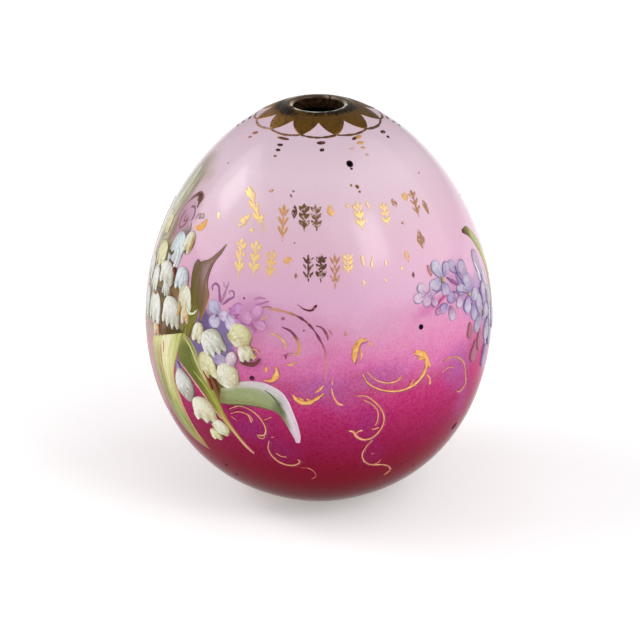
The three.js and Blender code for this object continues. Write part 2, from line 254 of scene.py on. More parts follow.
# The back repeats the front's foliage more loosely.
BACK_WASHES = [
    (148, 2, 5, 16, 5, MOSS, 0.35, 0.9),
    (126, -2, 6, 14, 0, (150, 140, 90), 0.4, 0.9),
    (138, 8, 7, 8, 0, (176, 146, 190), 0.55, 0.8),
    (-152, 2, 9, 8, 0, VIOLET_CLOUD, 0.45, 0.9),
    (-150, -26, 9, 5, 0, DEEP_VIOLET, 0.4, 0.9),
    (-104, 8, 7, 18, 4, (168, 158, 140), 0.5, 0.9),
]


def ground_colour(lon, lat):
    """Colour of the ground at each spot, washes included."""
    per_lon, per_lat = mm_per_degree(lat)
    across = FORM_RADIUS * np.sin(np.radians(lon))
    along = FORM_RADIUS * np.cos(np.radians(lon))
    drift = 1.4 * cloud(across + along, lat, 9, 3) + 0.7 * cloud(across - along, lat, 3, 5)
    colours = gradient(GROUND, lat + drift * ease(EVEN_LAT, 0, np.abs(lat)))
    for wash in WASHES + BACK_WASHES:
        spot_lon, spot_lat, half_width, half_height, tilt, colour, strength, softness = wash
        right = lon_apart(lon, spot_lon) * per_lon
        up = (lat - spot_lat) * per_lat
        turn = math.radians(tilt)
        x = (right * math.cos(turn) + up * math.sin(turn)) / half_width
        y = (-right * math.sin(turn) + up * math.cos(turn)) / half_height
        patches = 0.25 * (half_width + half_height)
        reach = np.hypot(x, y) * (1 + 0.16 * cloud(right, up, patches, 11))
        share = strength * (1 - ease(1 - softness, 1 + 0.4 * softness, reach))
        colours = mix(colours, colour, share)
    return colours


# ---- Mesh building ----
GILT = 0.75  # how metallic solid gilding is; rubbed gilding is less so
SCROLL_GILT = 0.6 * GILT
EMBED = 0.15  # how far a skin's hidden underside reaches into the glaze, mm
THINNEST = 0.06  # half width that no brush stroke goes below, mm


class Shell:
    """Vertices in mm, faces, paint and gold (how metallic) of a piece made of closed skins."""

    def __init__(self):
        self.points = []
        self.faces = []
        self.paint = []
        self.gold = []
        self.count = 0

    def add(self, points, faces, paint, gold):
        self.points.append(points)
        self.faces.extend([[i + self.count for i in face] for face in faces])
        self.paint.append(np.broadcast_to(np.asarray(paint, float), points.shape))
        self.gold.append(np.broadcast_to(np.asarray(gold, float), points.shape[:1]))
        self.count += len(points)

    def build(self, name, material, slot, replaced=()):
        """Makes the piece, which rides on the egg and stands for the replaced CAD nodes."""
        mesh = bpy.data.meshes.new(name)
        mesh.from_pydata((np.concatenate(self.points) * MM).tolist(), [], self.faces)
        work = bmesh.new()
        work.from_mesh(mesh)
        bmesh.ops.recalc_face_normals(work, faces=work.faces)
        work.to_mesh(mesh)
        work.free()
        paint = mesh.color_attributes.new("paint", "FLOAT_COLOR", "POINT")
        rgba = np.ones((self.count, 4), np.float32)
        rgba[:, :3] = to_linear(np.concatenate(self.paint))
        paint.data.foreach_set("color", rgba.ravel())
        gold = mesh.attributes.new("gold", "FLOAT", "POINT")
        gold.data.foreach_set("value", np.concatenate(self.gold).astype(np.float32))
        mesh.shade_smooth()
        mesh.materials.append(material)
        piece = bpy.data.objects.new(name, mesh)
        bpy.context.scene.collection.objects.link(piece)
        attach(piece, "root")
        if replaced:
            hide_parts(*replaced)


def painted_at(paint, where, shape):
    """Colours of the spots; paint is one colour or a function of the spots."""
    return paint(*where) if callable(paint) else np.broadcast_to(np.asarray(paint, float), (*shape, 3))


def smooth_path(stations, spacing):
    """Rows through the stations on a centripetal Catmull-Rom curve, about spacing mm apart."""
    s = np.asarray(stations, float)
    s = np.vstack([2 * s[0] - s[1], s, 2 * s[-1] - s[-2]])
    rows = []
    for p0, p1, p2, p3 in zip(s[:-3], s[1:-2], s[2:-1], s[3:]):
        scale = np.array(mm_per_degree(p1[1]))
        knots = [0.0]
        for a, b in ((p0, p1), (p1, p2), (p2, p3)):
            knots.append(knots[-1] + max(np.linalg.norm((b - a)[:2] * scale), 1e-6) ** 0.5)
        t0, t1, t2, t3 = knots
        steps = max(2, math.ceil(np.linalg.norm((p2 - p1)[:2] * scale) / spacing))
        t = np.linspace(t1, t2, steps, endpoint=False)[:, None]
        a1 = (t1 - t) / (t1 - t0) * p0 + (t - t0) / (t1 - t0) * p1
        a2 = (t2 - t) / (t2 - t1) * p1 + (t - t1) / (t2 - t1) * p2
        a3 = (t3 - t) / (t3 - t2) * p2 + (t - t2) / (t3 - t2) * p3
        b1 = (t2 - t) / (t2 - t0) * a1 + (t - t0) / (t2 - t0) * a2
        b2 = (t3 - t) / (t3 - t1) * a2 + (t - t1) / (t3 - t1) * a3
        rows.append((t2 - t) / (t2 - t1) * b1 + (t - t1) / (t2 - t1) * b2)
    rows.append(s[-2][None, :])
    return np.concatenate(rows)


def lengths_along(lon, lat):
    """Distance in mm from the start to each spot, and the step right and up at each spot."""
    per_lon, per_lat = mm_per_degree(lat)
    right = np.gradient(lon) * per_lon
    up = np.gradient(lat) * per_lat
    size = np.hypot(right, up)
    length = np.concatenate([[0], np.cumsum((size[1:] + size[:-1]) / 2)])
    return length, right / size, up / size


def add_sheet(shell, u, v, lon, lat, height, paint, gold):
    """A closed skin over a grid of spots, with hidden sides and underside. paint is a colour, or a
    function of (u, v, lon, lat)."""
    rows, columns = lon.shape
    top = surface(lon, lat, height).reshape(-1, 3)
    bottom = surface(lon[:, [0, -1]], lat[:, [0, -1]], -EMBED).reshape(-1, 3)
    base = rows * columns
    faces = []
    for i in range(1, rows):
        for k in range(columns - 1):
            a = i * columns + k
            faces.append([a, a - columns, a - columns + 1, a + 1])
        b = base + 2 * i
        faces.append([i * columns, b, b - 2, (i - 1) * columns])
        faces.append([i * columns + columns - 1, i * columns - 1, b - 1, b + 1])
        faces.append([b, b + 1, b - 1, b - 2])
    last_row = range(base - columns, base)
    faces.append([base, base + 1, *range(columns - 1, -1, -1)])
    faces.append([base + 2 * rows - 1, base + 2 * rows - 2, *last_row])
    colours = painted_at(paint, (u, v, lon, lat), u.shape)
    colours = np.concatenate([colours.reshape(-1, 3), colours[:, [0, -1]].reshape(-1, 3)])
    shell.add(np.concatenate([top, bottom]), faces, colours, gold)


def add_stroke(shell, stations, paint, gold=0.0, lift=0.0, thickness=0.12, across=6, spacing=0.4,
               waver=0.0, seed=0):
    """A brush stroke. In paint, u runs from 0 to 1 along the stroke, and v from 1 at its left edge
    to -1."""
    rows = smooth_path(stations, spacing)
    lon, lat = rows[:, 0], rows[:, 1]
    half = np.maximum(rows[:, 2], THINNEST)
    length, right, up = lengths_along(lon, lat)
    ends = np.sqrt(np.clip(np.minimum(length, length[-1] - length) / half, 0, 1) * 0.9 + 0.1)
    half = half * ends * (1 + waver * cloud(length, 0 * length, 1.5, seed + 1))
    v = np.sin(np.linspace(math.pi / 2, -math.pi / 2, across + 1))[None, :] + 0 * lon[:, None]
    u = (length / length[-1])[:, None] + 0 * v
    shift_right = -v * (half * up)[:, None]
    shift_up = v * (half * right)[:, None]
    grid_lon, grid_lat = offset(lon[:, None], lat[:, None], shift_right, shift_up)
    height = lift + thickness * np.sqrt(np.clip(1 - v**2, 0, 1)) * ends[:, None]
    add_sheet(shell, u, v, grid_lon, grid_lat, height, paint, gold)


def add_leaf(shell, stations, paint, lift=0.05, thickness=0.1, across=26, spacing=0.5):
    """A leaf between two edges: stations are (lon, lat, lon, lat) of the left edge (v = 1) and the
    right edge (v = -1), seen along the direction of travel."""
    rows = smooth_path(stations, spacing)
    length = lengths_along((rows[:, 0] + rows[:, 2]) / 2, (rows[:, 1] + rows[:, 3]) / 2)[0]
    v = np.linspace(1, -1, across + 1)[None, :] + 0 * length[:, None]
    u = (length / length[-1])[:, None] + 0 * v
    share = (1 + v) / 2
    grid_lon = rows[:, 0:1] * share + rows[:, 2:3] * (1 - share)
    grid_lat = rows[:, 1:2] * share + rows[:, 3:4] * (1 - share)
    height = lift + thickness * np.sqrt(np.clip(1 - v**6, 0, 1)) * ease(-0.002, 0.03, u * (1 - u))
    add_sheet(shell, u, v, grid_lon, grid_lat, height, paint, 0.0)


def add_patch(shell, centre, outline, paint, gold=0.0, tilt=0.0, lift=0.0, thickness=0.15, spokes=40,
              rings=7, dome=2.0):
    """A blob about (lon, lat) whose edge lies at outline(angle) = (right, up) in mm, turned by tilt.
    paint is a colour, or a function of (x, y, rho, lon, lat): x and y are in mm before the turn and
    rho runs from 0 in the middle to 1 at the edge."""
    angle = np.linspace(0, 2 * math.pi, spokes, endpoint=False)
    edge_x, edge_y = outline(angle)
    rho = np.sin(np.linspace(0, math.pi / 2, rings + 1))[1:, None]
    x, y = rho * edge_x, rho * edge_y
    rho = np.broadcast_to(rho, x.shape)
    x, y, rho = (np.concatenate([[0.0], a.ravel()]) for a in (x, y, rho))
    turn = math.radians(tilt)
    right = x * math.cos(turn) - y * math.sin(turn)
    up = x * math.sin(turn) + y * math.cos(turn)
    lon, lat = offset(centre[0], centre[1], right, up)
    height = lift + thickness * np.sqrt(np.clip(1 - rho**dome, 0, 1))
    top = surface(lon, lat, height)
    last = 1 + (rings - 1) * spokes
    bottom = surface(lon[last:], lat[last:], -EMBED)
    low_centre = surface(np.array([centre[0]]), np.array([centre[1]]), -EMBED)
    base = len(top)
    faces = []
    for i in range(spokes):
        j = (i + 1) % spokes
        faces.append([0, 1 + i, 1 + j])
        for k in range(rings - 1):
            a, b = 1 + k * spokes, 1 + (k + 1) * spokes
            faces.append([a + i, b + i, b + j, a + j])
        faces.append([last + i, base + i, base + j, last + j])
        faces.append([base + spokes, base + j, base + i])
    colours = painted_at(paint, (x, y, rho, lon, lat), x.shape)
    colours = np.concatenate([colours, colours[last:], colours[:1]])
    shell.add(np.concatenate([top, bottom, low_centre]), faces, colours, gold)


def ellipse(half_width, half_height):
    return lambda angle: (half_width * np.cos(angle), half_height * np.sin(angle))


def add_ring(shell, inner, edge_at, paint, lift, thickness, rows=16, columns=440):
    """A gilt band round the egg's axis from the inner latitude to edge_at(longitude), closed
    underneath."""
    lon = np.linspace(0, 360, columns, endpoint=False)
    share = np.linspace(0, 1, rows)[:, None]
    grid_lat = inner + (edge_at(lon)[None, :] - inner) * share
    grid_lon = lon[None, :] + 0 * grid_lat
    height = lift + thickness * np.clip(1 - (2 * share - 1) ** 6, 0, 1) - EMBED * (share == 0)
    top = surface(grid_lon, grid_lat, height).reshape(-1, 3)
    bottom = surface(grid_lon[[0, -1]], grid_lat[[0, -1]], -EMBED).reshape(-1, 3)
    loop = [k * columns for k in range(rows + 2)]
    order = [*loop[:rows], loop[rows + 1], loop[rows]]
    faces = []
    for a, b in zip(order, order[1:] + order[:1]):
        for i in range(columns):
            j = (i + 1) % columns
            faces.append([a + i, b + i, b + j, a + j])
    colours = paint(grid_lon, grid_lat).reshape(-1, 3)
    ends = paint(grid_lon[[0, -1]], grid_lat[[0, -1]]).reshape(-1, 3)
    shell.add(np.concatenate([top, bottom]), faces, np.concatenate([colours, ends]), GILT)


# ---- Materials ----
def place(tree, kind, inputs=None, **props):
    """Adds a node; inputs are values or sockets by name or number."""
    made = tree.nodes.new(kind)
    for key, value in props.items():
        setattr(made, key, value)
    for key, value in (inputs or {}).items():
        if isinstance(value, bpy.types.NodeSocket):
            tree.links.new(value, made.inputs[key])
        else:
            made.inputs[key].default_value = value
    return made


def noise(tree, where, size_mm, detail=3.0, roughness=0.55):
    """Noise from 0 to 1 whose features are about size_mm across."""
    return place(tree, "ShaderNodeTexNoise", {
        "Vector": where, "Scale": 1 / (size_mm * MM), "Detail": detail, "Roughness": roughness,
    }).outputs["Fac"]


def remap(tree, value, low, high, to_low, to_high):
    return place(tree, "ShaderNodeMapRange", {
        "Value": value, "From Min": low, "From Max": high, "To Min": to_low, "To Max": to_high,
    }).outputs["Result"]


def blend_colour(tree, share, a, b):
    return place(tree, "ShaderNodeMix", {0: share, 6: a, 7: b}, data_type="RGBA").outputs[2]


def math_node(tree, operation, a, b):
    return place(tree, "ShaderNodeMath", {0: a, 1: b}, operation=operation).outputs[0]


def change_colour(tree, colour, saturation, value):
    inputs = {"Saturation": saturation, "Value": value, "Color": colour}
    return place(tree, "ShaderNodeHueSaturation", inputs).outputs["Color"]


def rgba(colour):
    return (*to_linear(colour), 1.0)


GLAZE_COAT = 0.6  # clear gloss over the pale upper half; the crimson below and the gold have none
COAT_ROUGHNESS = 0.16
COAT_HEIGHTS = (48 * MM, 64 * MM)  # where the clear gloss comes in
SPRAY_HEIGHTS = (62 * MM, 44 * MM)  # where the darker spray comes in, going down
SPRAY_DOT = 0.55  # mm
SPRAY_STRENGTH = 0.55
PIT_CELLS_PER_METRE = 150.0
PIT_BROWN = (84, 44, 52)
BORE_CRUST_RADII = (6.1 * MM, 6.5 * MM)  # the glaze is rough inside the smaller one


def glaze_coat(tree, height, metal):
    """Weight of the clear gloss: more towards the top, and none where the mesh is gilt."""
    ungilt = math_node(tree, "SUBTRACT", 1.0, math_node(tree, "DIVIDE", metal, GILT))
    return math_node(tree, "MULTIPLY", remap(tree, height, *COAT_HEIGHTS, 0.0, GLAZE_COAT), ungilt)


def darker_spray(tree, where, height, colour):
    """Fine darker dots of spray over the lower half."""
    low_zone = remap(tree, height, *SPRAY_HEIGHTS, 0.0, 1.0)
    dots = remap(tree, noise(tree, where, SPRAY_DOT, 2, 0.5), 0.42, 0.62, 0.0, 1.0)
    share = math_node(tree, "MULTIPLY", math_node(tree, "MULTIPLY", dots, low_zone), SPRAY_STRENGTH)
    return blend_colour(tree, share, colour, change_colour(tree, colour, 1.12, 0.80))


def brown_pits(tree, where, colour):
    """A pit in about one in fifteen cells of a pattern."""
    cells = place(tree, "ShaderNodeTexVoronoi", {"Vector": where, "Scale": PIT_CELLS_PER_METRE})
    near = remap(tree, cells.outputs["Distance"], 0.035, 0.06, 1.0, 0.0)
    chance = place(tree, "ShaderNodeSeparateColor", {"Color": cells.outputs["Color"]}).outputs["Red"]
    chosen = remap(tree, chance, 0.93, 0.94, 0.0, 1.0)
    return blend_colour(tree, math_node(tree, "MULTIPLY", near, chosen), colour, rgba(PIT_BROWN))


def rough_bores(tree, where, roughness):
    """Roughness, raised in the crusty ribbon holes."""
    level = place(tree, "ShaderNodeVectorMath", {0: where, 1: (1, 1, 0)}, operation="MULTIPLY")
    from_axis = place(tree, "ShaderNodeVectorMath", {0: level.outputs[0]}, operation="LENGTH")
    crusty = remap(tree, from_axis.outputs["Value"], *BORE_CRUST_RADII, 0.5, 0.0)
    return math_node(tree, "ADD", roughness, crusty)


def rubbed_through(tree, where, colour, metal, wear, under):
    """Colour and gold, with more or less of the gold rubbed through to the colour under it."""
    rubbed = noise(tree, where, 0.9, 6, 0.7)
    rubbed = remap(tree, rubbed, 0.62 - wear * 0.2, 0.68 - wear * 0.2, 0.0, 0.85)
    left = math_node(tree, "SUBTRACT", 1.0, rubbed)
    return blend_colour(tree, rubbed, colour, rgba(under)), math_node(tree, "MULTIPLY", metal, left)


def painted_material(name, grain, grain_mm, rough, bump, ior=1.22, wear=0.0, under=None,
                     ground=False):
    """Paint from the mesh, broken up by brush or spray grain; rough is (low, high), bump in mm, wear
    is how much of the gold is rubbed through, and ground adds what only the glazed shell has."""
    material = bpy.data.materials.new(name)
    material.use_nodes = True
    tree = material.node_tree
    tree.nodes.clear()
    where = place(tree, "ShaderNodeTexCoord").outputs["Object"]
    colour = place(tree, "ShaderNodeAttribute", attribute_name="paint").outputs["Color"]
    metal = place(tree, "ShaderNodeAttribute", attribute_name="gold").outputs["Fac"]
    value = remap(tree, noise(tree, where, grain_mm, 4, 0.65), 0.3, 0.7, 1 - grain, 1 + grain)
    colour = change_colour(tree, colour, 1.0, value)
    roughness = remap(tree, noise(tree, where, 7, 3), 0.35, 0.65, *rough)
    coat = 0.0
    if ground:
        height = place(tree, "ShaderNodeSeparateXYZ", {"Vector": where}).outputs["Z"]
        coat = glaze_coat(tree, height, metal)
        colour = brown_pits(tree, where, darker_spray(tree, where, height, colour))
        roughness = rough_bores(tree, where, roughness)
    if wear:
        colour, metal = rubbed_through(tree, where, colour, metal, wear, under)
    waves = math_node(tree, "MULTIPLY", noise(tree, where, 5, 2), 1.6)
    relief = math_node(tree, "ADD", waves, noise(tree, where, grain_mm * 0.8, 3))
    normal = place(tree, "ShaderNodeBump", {"Height": relief, "Strength": 1.0, "Distance": bump * MM})
    shader = place(tree, "ShaderNodeBsdfPrincipled", {
        "Base Color": colour, "Metallic": metal, "Roughness": roughness, "Normal": normal.outputs["Normal"],
        "IOR": ior, "Coat Weight": coat, "Coat Roughness": COAT_ROUGHNESS,
    })
    output = place(tree, "ShaderNodeOutputMaterial")
    tree.links.new(shader.outputs[0], output.inputs["Surface"])
    return material


GROUND_GLAZE = painted_material("sprayed_ground", 0.03, 0.4, (0.06, 0.14), 0.012, 1.1, ground=True)
BURNT_SPECK = painted_material("burnt_speck", 0.1, 0.3, (0.5, 0.7), 0.03, 1.05)
GILDING = painted_material("gilding", 0.14, 0.35, (0.3, 0.45), 0.05, wear=0.2, under=(196, 128, 110))
GILDING_WORN = painted_material("gilding_worn", 0.14, 0.35, (0.3, 0.5), 0.04, wear=0.5, under=(222, 184, 190))
GILDING_DARK = painted_material("gilding_dark", 0.2, 0.5, (0.26, 0.4), 0.04, wear=0.35, under=(72, 50, 26))
GREEN_ENAMEL = painted_material("green_enamel", 0.09, 0.45, (0.16, 0.32), 0.05)
WHITE_ENAMEL = painted_material("white_enamel", 0.05, 0.5, (0.16, 0.34), 0.06)
LILAC_ENAMEL = painted_material("lilac_enamel", 0.06, 0.4, (0.16, 0.34), 0.05)


# ---- The porcelain shell ----
BODY_COLUMNS = 400
BODY_ROWS = 208
INNER_ROWS = 18
WORN_RIM = (222, 214, 200)
GRIME = (66, 42, 26)
# the bore's near black is partly crust, partly painted shade in the hole
BORE_BLACK = (30, 19, 12)
BORE_CRUMBS = (138, 124, 110)
UNGLAZED = (214, 206, 194)
INSIDE = (46, 38, 32)
GILDING_STARTS = 74.7  # latitude above which the shell itself is gilt, up to the hole
BORE_DEPTHS = np.linspace(0.6, 2.6, 13)
RIM_WEAR_RADIUS = 6.45  # gold is rubbed off inside this
CRUST_RADIUS = 6.8  # the bore's crust and painted shade are laid out on a circle of this radius


def shell_profile():
    """Rows of radius, height, latitude and part: up the outside, over the rim and down the inside."""
    profile = []
    for lat in np.linspace(FOOT_LAT, RIM_LAT, BODY_ROWS):
        height = CENTRE_Z + FORM_HALF_HEIGHT * math.sin(math.radians(lat))
        profile.append((FORM_RADIUS * unit_radius(lat), height, lat, "glaze"))
    top = profile[-1][1]
    mouth = RIM_HOLE_RADIUS + RIM_CHAMFER
    for radius in np.linspace(RIM_RADIUS, mouth, 5)[1:]:
        profile.append((radius, top, RIM_LAT, "rim"))
    for angle in np.radians((30, 60, 90)):
        drop = RIM_CHAMFER * (1 - math.cos(angle))
        profile.append((mouth - RIM_CHAMFER * math.sin(angle), top - drop, RIM_LAT, "rim"))
    for depth in BORE_DEPTHS:
        profile.append((RIM_HOLE_RADIUS, top - depth, RIM_LAT, "bore"))
    inner_radius, inner_height = FORM_RADIUS - WALL, FORM_HALF_HEIGHT - WALL
    first = latitude_at(RIM_HOLE_RADIUS, inner_radius, 1)
    last = latitude_at(FOOT_HOLE_RADIUS, inner_radius, -1)
    for lat in np.linspace(first, last, INNER_ROWS):
        height = CENTRE_Z + inner_height * math.sin(math.radians(lat))
        profile.append((inner_radius * unit_radius(lat), height, lat, "inside"))
    for radius in FOOT_RING:
        profile.append((radius, 0.0, FOOT_LAT, "foot"))
    return profile


def glaze_paint(lon, lat):
    """Colour and gold of the outside: the ground, and gilding that starts below the hole."""
    share = ease(GILDING_STARTS - 0.1, GILDING_STARTS + 0.1, lat)
    return mix(ground_colour(lon, lat), rosette_paint(lon, lat), share), GILT * share


def rim_paint(lon, radius):
    """Colour and gold of the flat rim: worn porcelain, grimy behind, with gold left outside."""
    right, front = radius * np.sin(np.radians(lon)), radius * np.cos(np.radians(lon))
    blotch = cloud(right, front, 2.4, 21) + 0.4 * cloud(right, front, 0.9, 22)
    bare = np.exp(-(((right - 2.6) / 1.3) ** 2))
    behind = ease(1.5, -4.5, front) * (0.95 - 0.6 * bare)
    worn = mix(WORN_RIM, GRIME, np.maximum(0.85 * ease(0.7, 1.3, blotch), behind))
    gilt = ease(RIM_WEAR_RADIUS - 0.15, RIM_WEAR_RADIUS + 0.15, radius + 0.2 * blotch)
    return mix(worn, rosette_paint(lon + 0 * right, RIM_LAT + 0 * right), gilt), GILT * gilt


def bore_paint(lon, height):
    """Dark down the bore, partly crust and partly painted shade in the hole, with paler crumbs at the right.
    """
    right, front = CRUST_RADIUS * np.sin(np.radians(lon)), CRUST_RADIUS * np.cos(np.radians(lon))
    down = 1.3 * height
    crust = mix(BORE_BLACK, GRIME, ease(-1.2, 1.4, cloud(right + down, front - down, 0.9, 23)))
    crumbs = ease(0.8, 1.6, cloud(right - down, front + down, 0.45, 24))
    return mix(crust, BORE_CRUMBS, 0.8 * crumbs * ease(-0.5, 0.5, np.sin(np.radians(lon))))


def porcelain_body():
    """The whole shell: outside, flat rim, bores, inside and ground foot ring, as one closed mesh."""
    lon = lon_apart(np.linspace(0, 360, BODY_COLUMNS, endpoint=False), 0)[None, :]
    profile = shell_profile()
    rows = len(profile)
    radius, height, lats = (np.array([row[k] for row in profile])[:, None] for k in range(3))
    parts = np.array([row[3] for row in profile])
    glaze, rim, bore = (parts == name for name in ("glaze", "rim", "bore"))
    turn = np.radians(lon)
    points = np.stack([radius * np.sin(turn), -radius * np.cos(turn), height + 0 * turn], -1)
    paint = np.zeros((rows, BODY_COLUMNS, 3))
    gold = np.zeros((rows, BODY_COLUMNS))
    paint[glaze], gold[glaze] = glaze_paint(lon + 0 * lats[glaze], lats[glaze] + 0 * lon)
    paint[rim], gold[rim] = rim_paint(lon, radius[rim])
    paint[bore] = bore_paint(lon, height[bore])
    paint[parts == "inside"] = INSIDE
    paint[parts == "foot"] = UNGLAZED
    faces = []
    for r in range(rows):
        a, b = r * BODY_COLUMNS, ((r + 1) % rows) * BODY_COLUMNS
        for i in range(BODY_COLUMNS):
            j = (i + 1) % BODY_COLUMNS
            faces.append([a + i, a + j, b + j, b + i])
    shell = Shell()
    shell.add(points.reshape(-1, 3), faces, paint.reshape(-1, 3), gold.ravel())
    shell.build("porcelain_shell", GROUND_GLAZE, "porcelain", ["porcelain_body"])


# ---- The gilt collars ----
ROSETTE_PETALS = 11
PETAL_ARC = 360 / ROSETTE_PETALS
GOLD_BLACK = (40, 28, 16)

# Black grime on the collar: lon, lat, strength.
GRIME_SPOTS = [
    (-62, 76, 1.0), (-98, 75.6, 0.9), (74, 77.6, 0.8), (34, 78.4, 0.7), (-6, 78.6, 0.6), (140, 76, 0.7),
]


def rosette_paint(lon, lat):
    """Brown old gold, lighter at the left, with grime crusts near the hole."""
    turn = np.radians(lon)
    brown = mix((124, 88, 34), (176, 128, 70), ease(0.3, 1.0, -np.sin(turn)) * ease(77, 70, np.abs(lat)))
    brown = mix(brown, (112, 80, 32), 0.6 * ease(71, 77, np.abs(lat)))
    streak = cloud(8 * np.sin(turn), np.cos(turn) * 8 + lat * 0.4, 1.3, 31)
    colours = mix(brown, (84, 58, 22), 0.35 * ease(0, 1.2, streak))
    crumbs = cloud(lon * 0.16, lat * 0.9, 0.45, 37)
    for spot_lon, spot_lat, strength in GRIME_SPOTS:
        reach = np.hypot(lon_apart(lon, spot_lon) / 22, (lat - spot_lat) / 1.9) + 0.4 * crumbs
        colours = mix(colours, GOLD_BLACK, min(1, 1.5 * strength) * ease(1.3, 0.8, reach))
    return colours


def rosette(name, inner, head, tip, replaced):
    """A collar whose edge runs out into convex petals, and the scalloped line that joins their tips."""
    shell = Shell()
    pole = 1 if inner > 0 else -1

    def edge_at(lon):
        from_centre = np.abs(np.mod(lon / PETAL_ARC, 1) - 0.5) * 2
        return tip + (head - tip) * from_centre**1.5

    add_ring(shell, inner, edge_at, rosette_paint, lift=0.0, thickness=0.06)
    for k in range(ROSETTE_PETALS):
        lon = (k + 0.5) * PETAL_ARC
        line = [
            (lon + share * PETAL_ARC, tip - pole * (0.1 + 0.8 * math.sin(math.pi * share)), 0.3)
            for share in (0, 0.18, 0.36, 0.5, 0.64, 0.82, 1)
        ]
        middle = math.radians(lon + PETAL_ARC / 2)
        tone = mix((112, 80, 52), (190, 146, 132), ease(0.2, 0.9, -math.sin(middle)))
        add_stroke(shell, line, tone, gold=0.5, thickness=0.05, waver=0.25, seed=k)
    shell.build(name, GILDING_DARK, "gilding", replaced)


# Dashes and dots that hang under the collar: lon, lat, half width, half height, tilt, colour.
PENDANT_DARK = (84, 52, 44)
PENDANT_GOLD = (206, 152, 96)
PENDANT_FAINT = (216, 176, 158)
PENDANTS = [
    (-61, 62.6, 0.9, 0.5, 24, (166, 112, 88)), (-61.6, 60.5, 0.6, 0.35, 24, (176, 120, 108)),
    (-30.6, 63.9, 1.6, 0.4, -2, (110, 74, 52)), (-30, 61.2, 0.75, 0.4, 0, PENDANT_DARK),
    (-29.6, 59.2, 0.6, 0.4, 0, PENDANT_DARK), (-29.6, 56.9, 0.45, 0.35, 0, (160, 116, 112)),
    (2, 63.3, 1.0, 0.5, 4, PENDANT_DARK), (2.5, 60.5, 0.55, 0.45, 20, (60, 34, 28)),
    (31.4, 63.9, 0.9, 0.4, 14, PENDANT_DARK), (34.5, 64.1, 1.1, 0.5, 10, PENDANT_GOLD),
    (33.4, 61.7, 0.9, 0.5, 0, (218, 170, 110)), (24.7, 60, 0.55, 0.35, 0, PENDANT_FAINT),
    (33.4, 59.7, 0.6, 0.4, 0, (220, 176, 136)), (33.5, 56.9, 0.45, 0.4, 0, PENDANT_FAINT),
    (63.2, 62.7, 0.9, 0.5, -10, PENDANT_DARK), (62.6, 60.4, 0.5, 0.4, 0, PENDANT_DARK),
    *[(lon, lat, size, 0.42, 0, PENDANT_DARK) for lon in (98.2, 130.9, 163.6, -163.6, -130.9, -98.2)
      for lat, size in ((63.4, 1.0), (60.8, 0.6), (58.6, 0.45))],
]


def pendants():
    shell = Shell()
    for lon, lat, half_width, half_height, tilt, colour in PENDANTS:
        add_patch(shell, (lon, lat), ellipse(half_width, half_height), colour, gold=0.4, tilt=tilt,
                  thickness=0.08, spokes=20, rings=4)
    shell.build("gilt_pendants", GILDING, "gilding")


# ---- Scrolls ----
GOLD_BRIGHT = (232, 172, 96)
GOLD_PALE = (252, 218, 150)
GOLD_PEACH = (228, 158, 116)
GOLD_TAN = (206, 148, 102)
GOLD_DEEP = (170, 110, 66)
# colour of the painted shadow beside the raised gold
SCROLL_SHADE = (120, 44, 92)
SHADE_SHIFT = 0.3  # degrees right and down from the gilt line
SHADE_SPREAD = 0.26  # how much further than the line it reaches to each side, mm

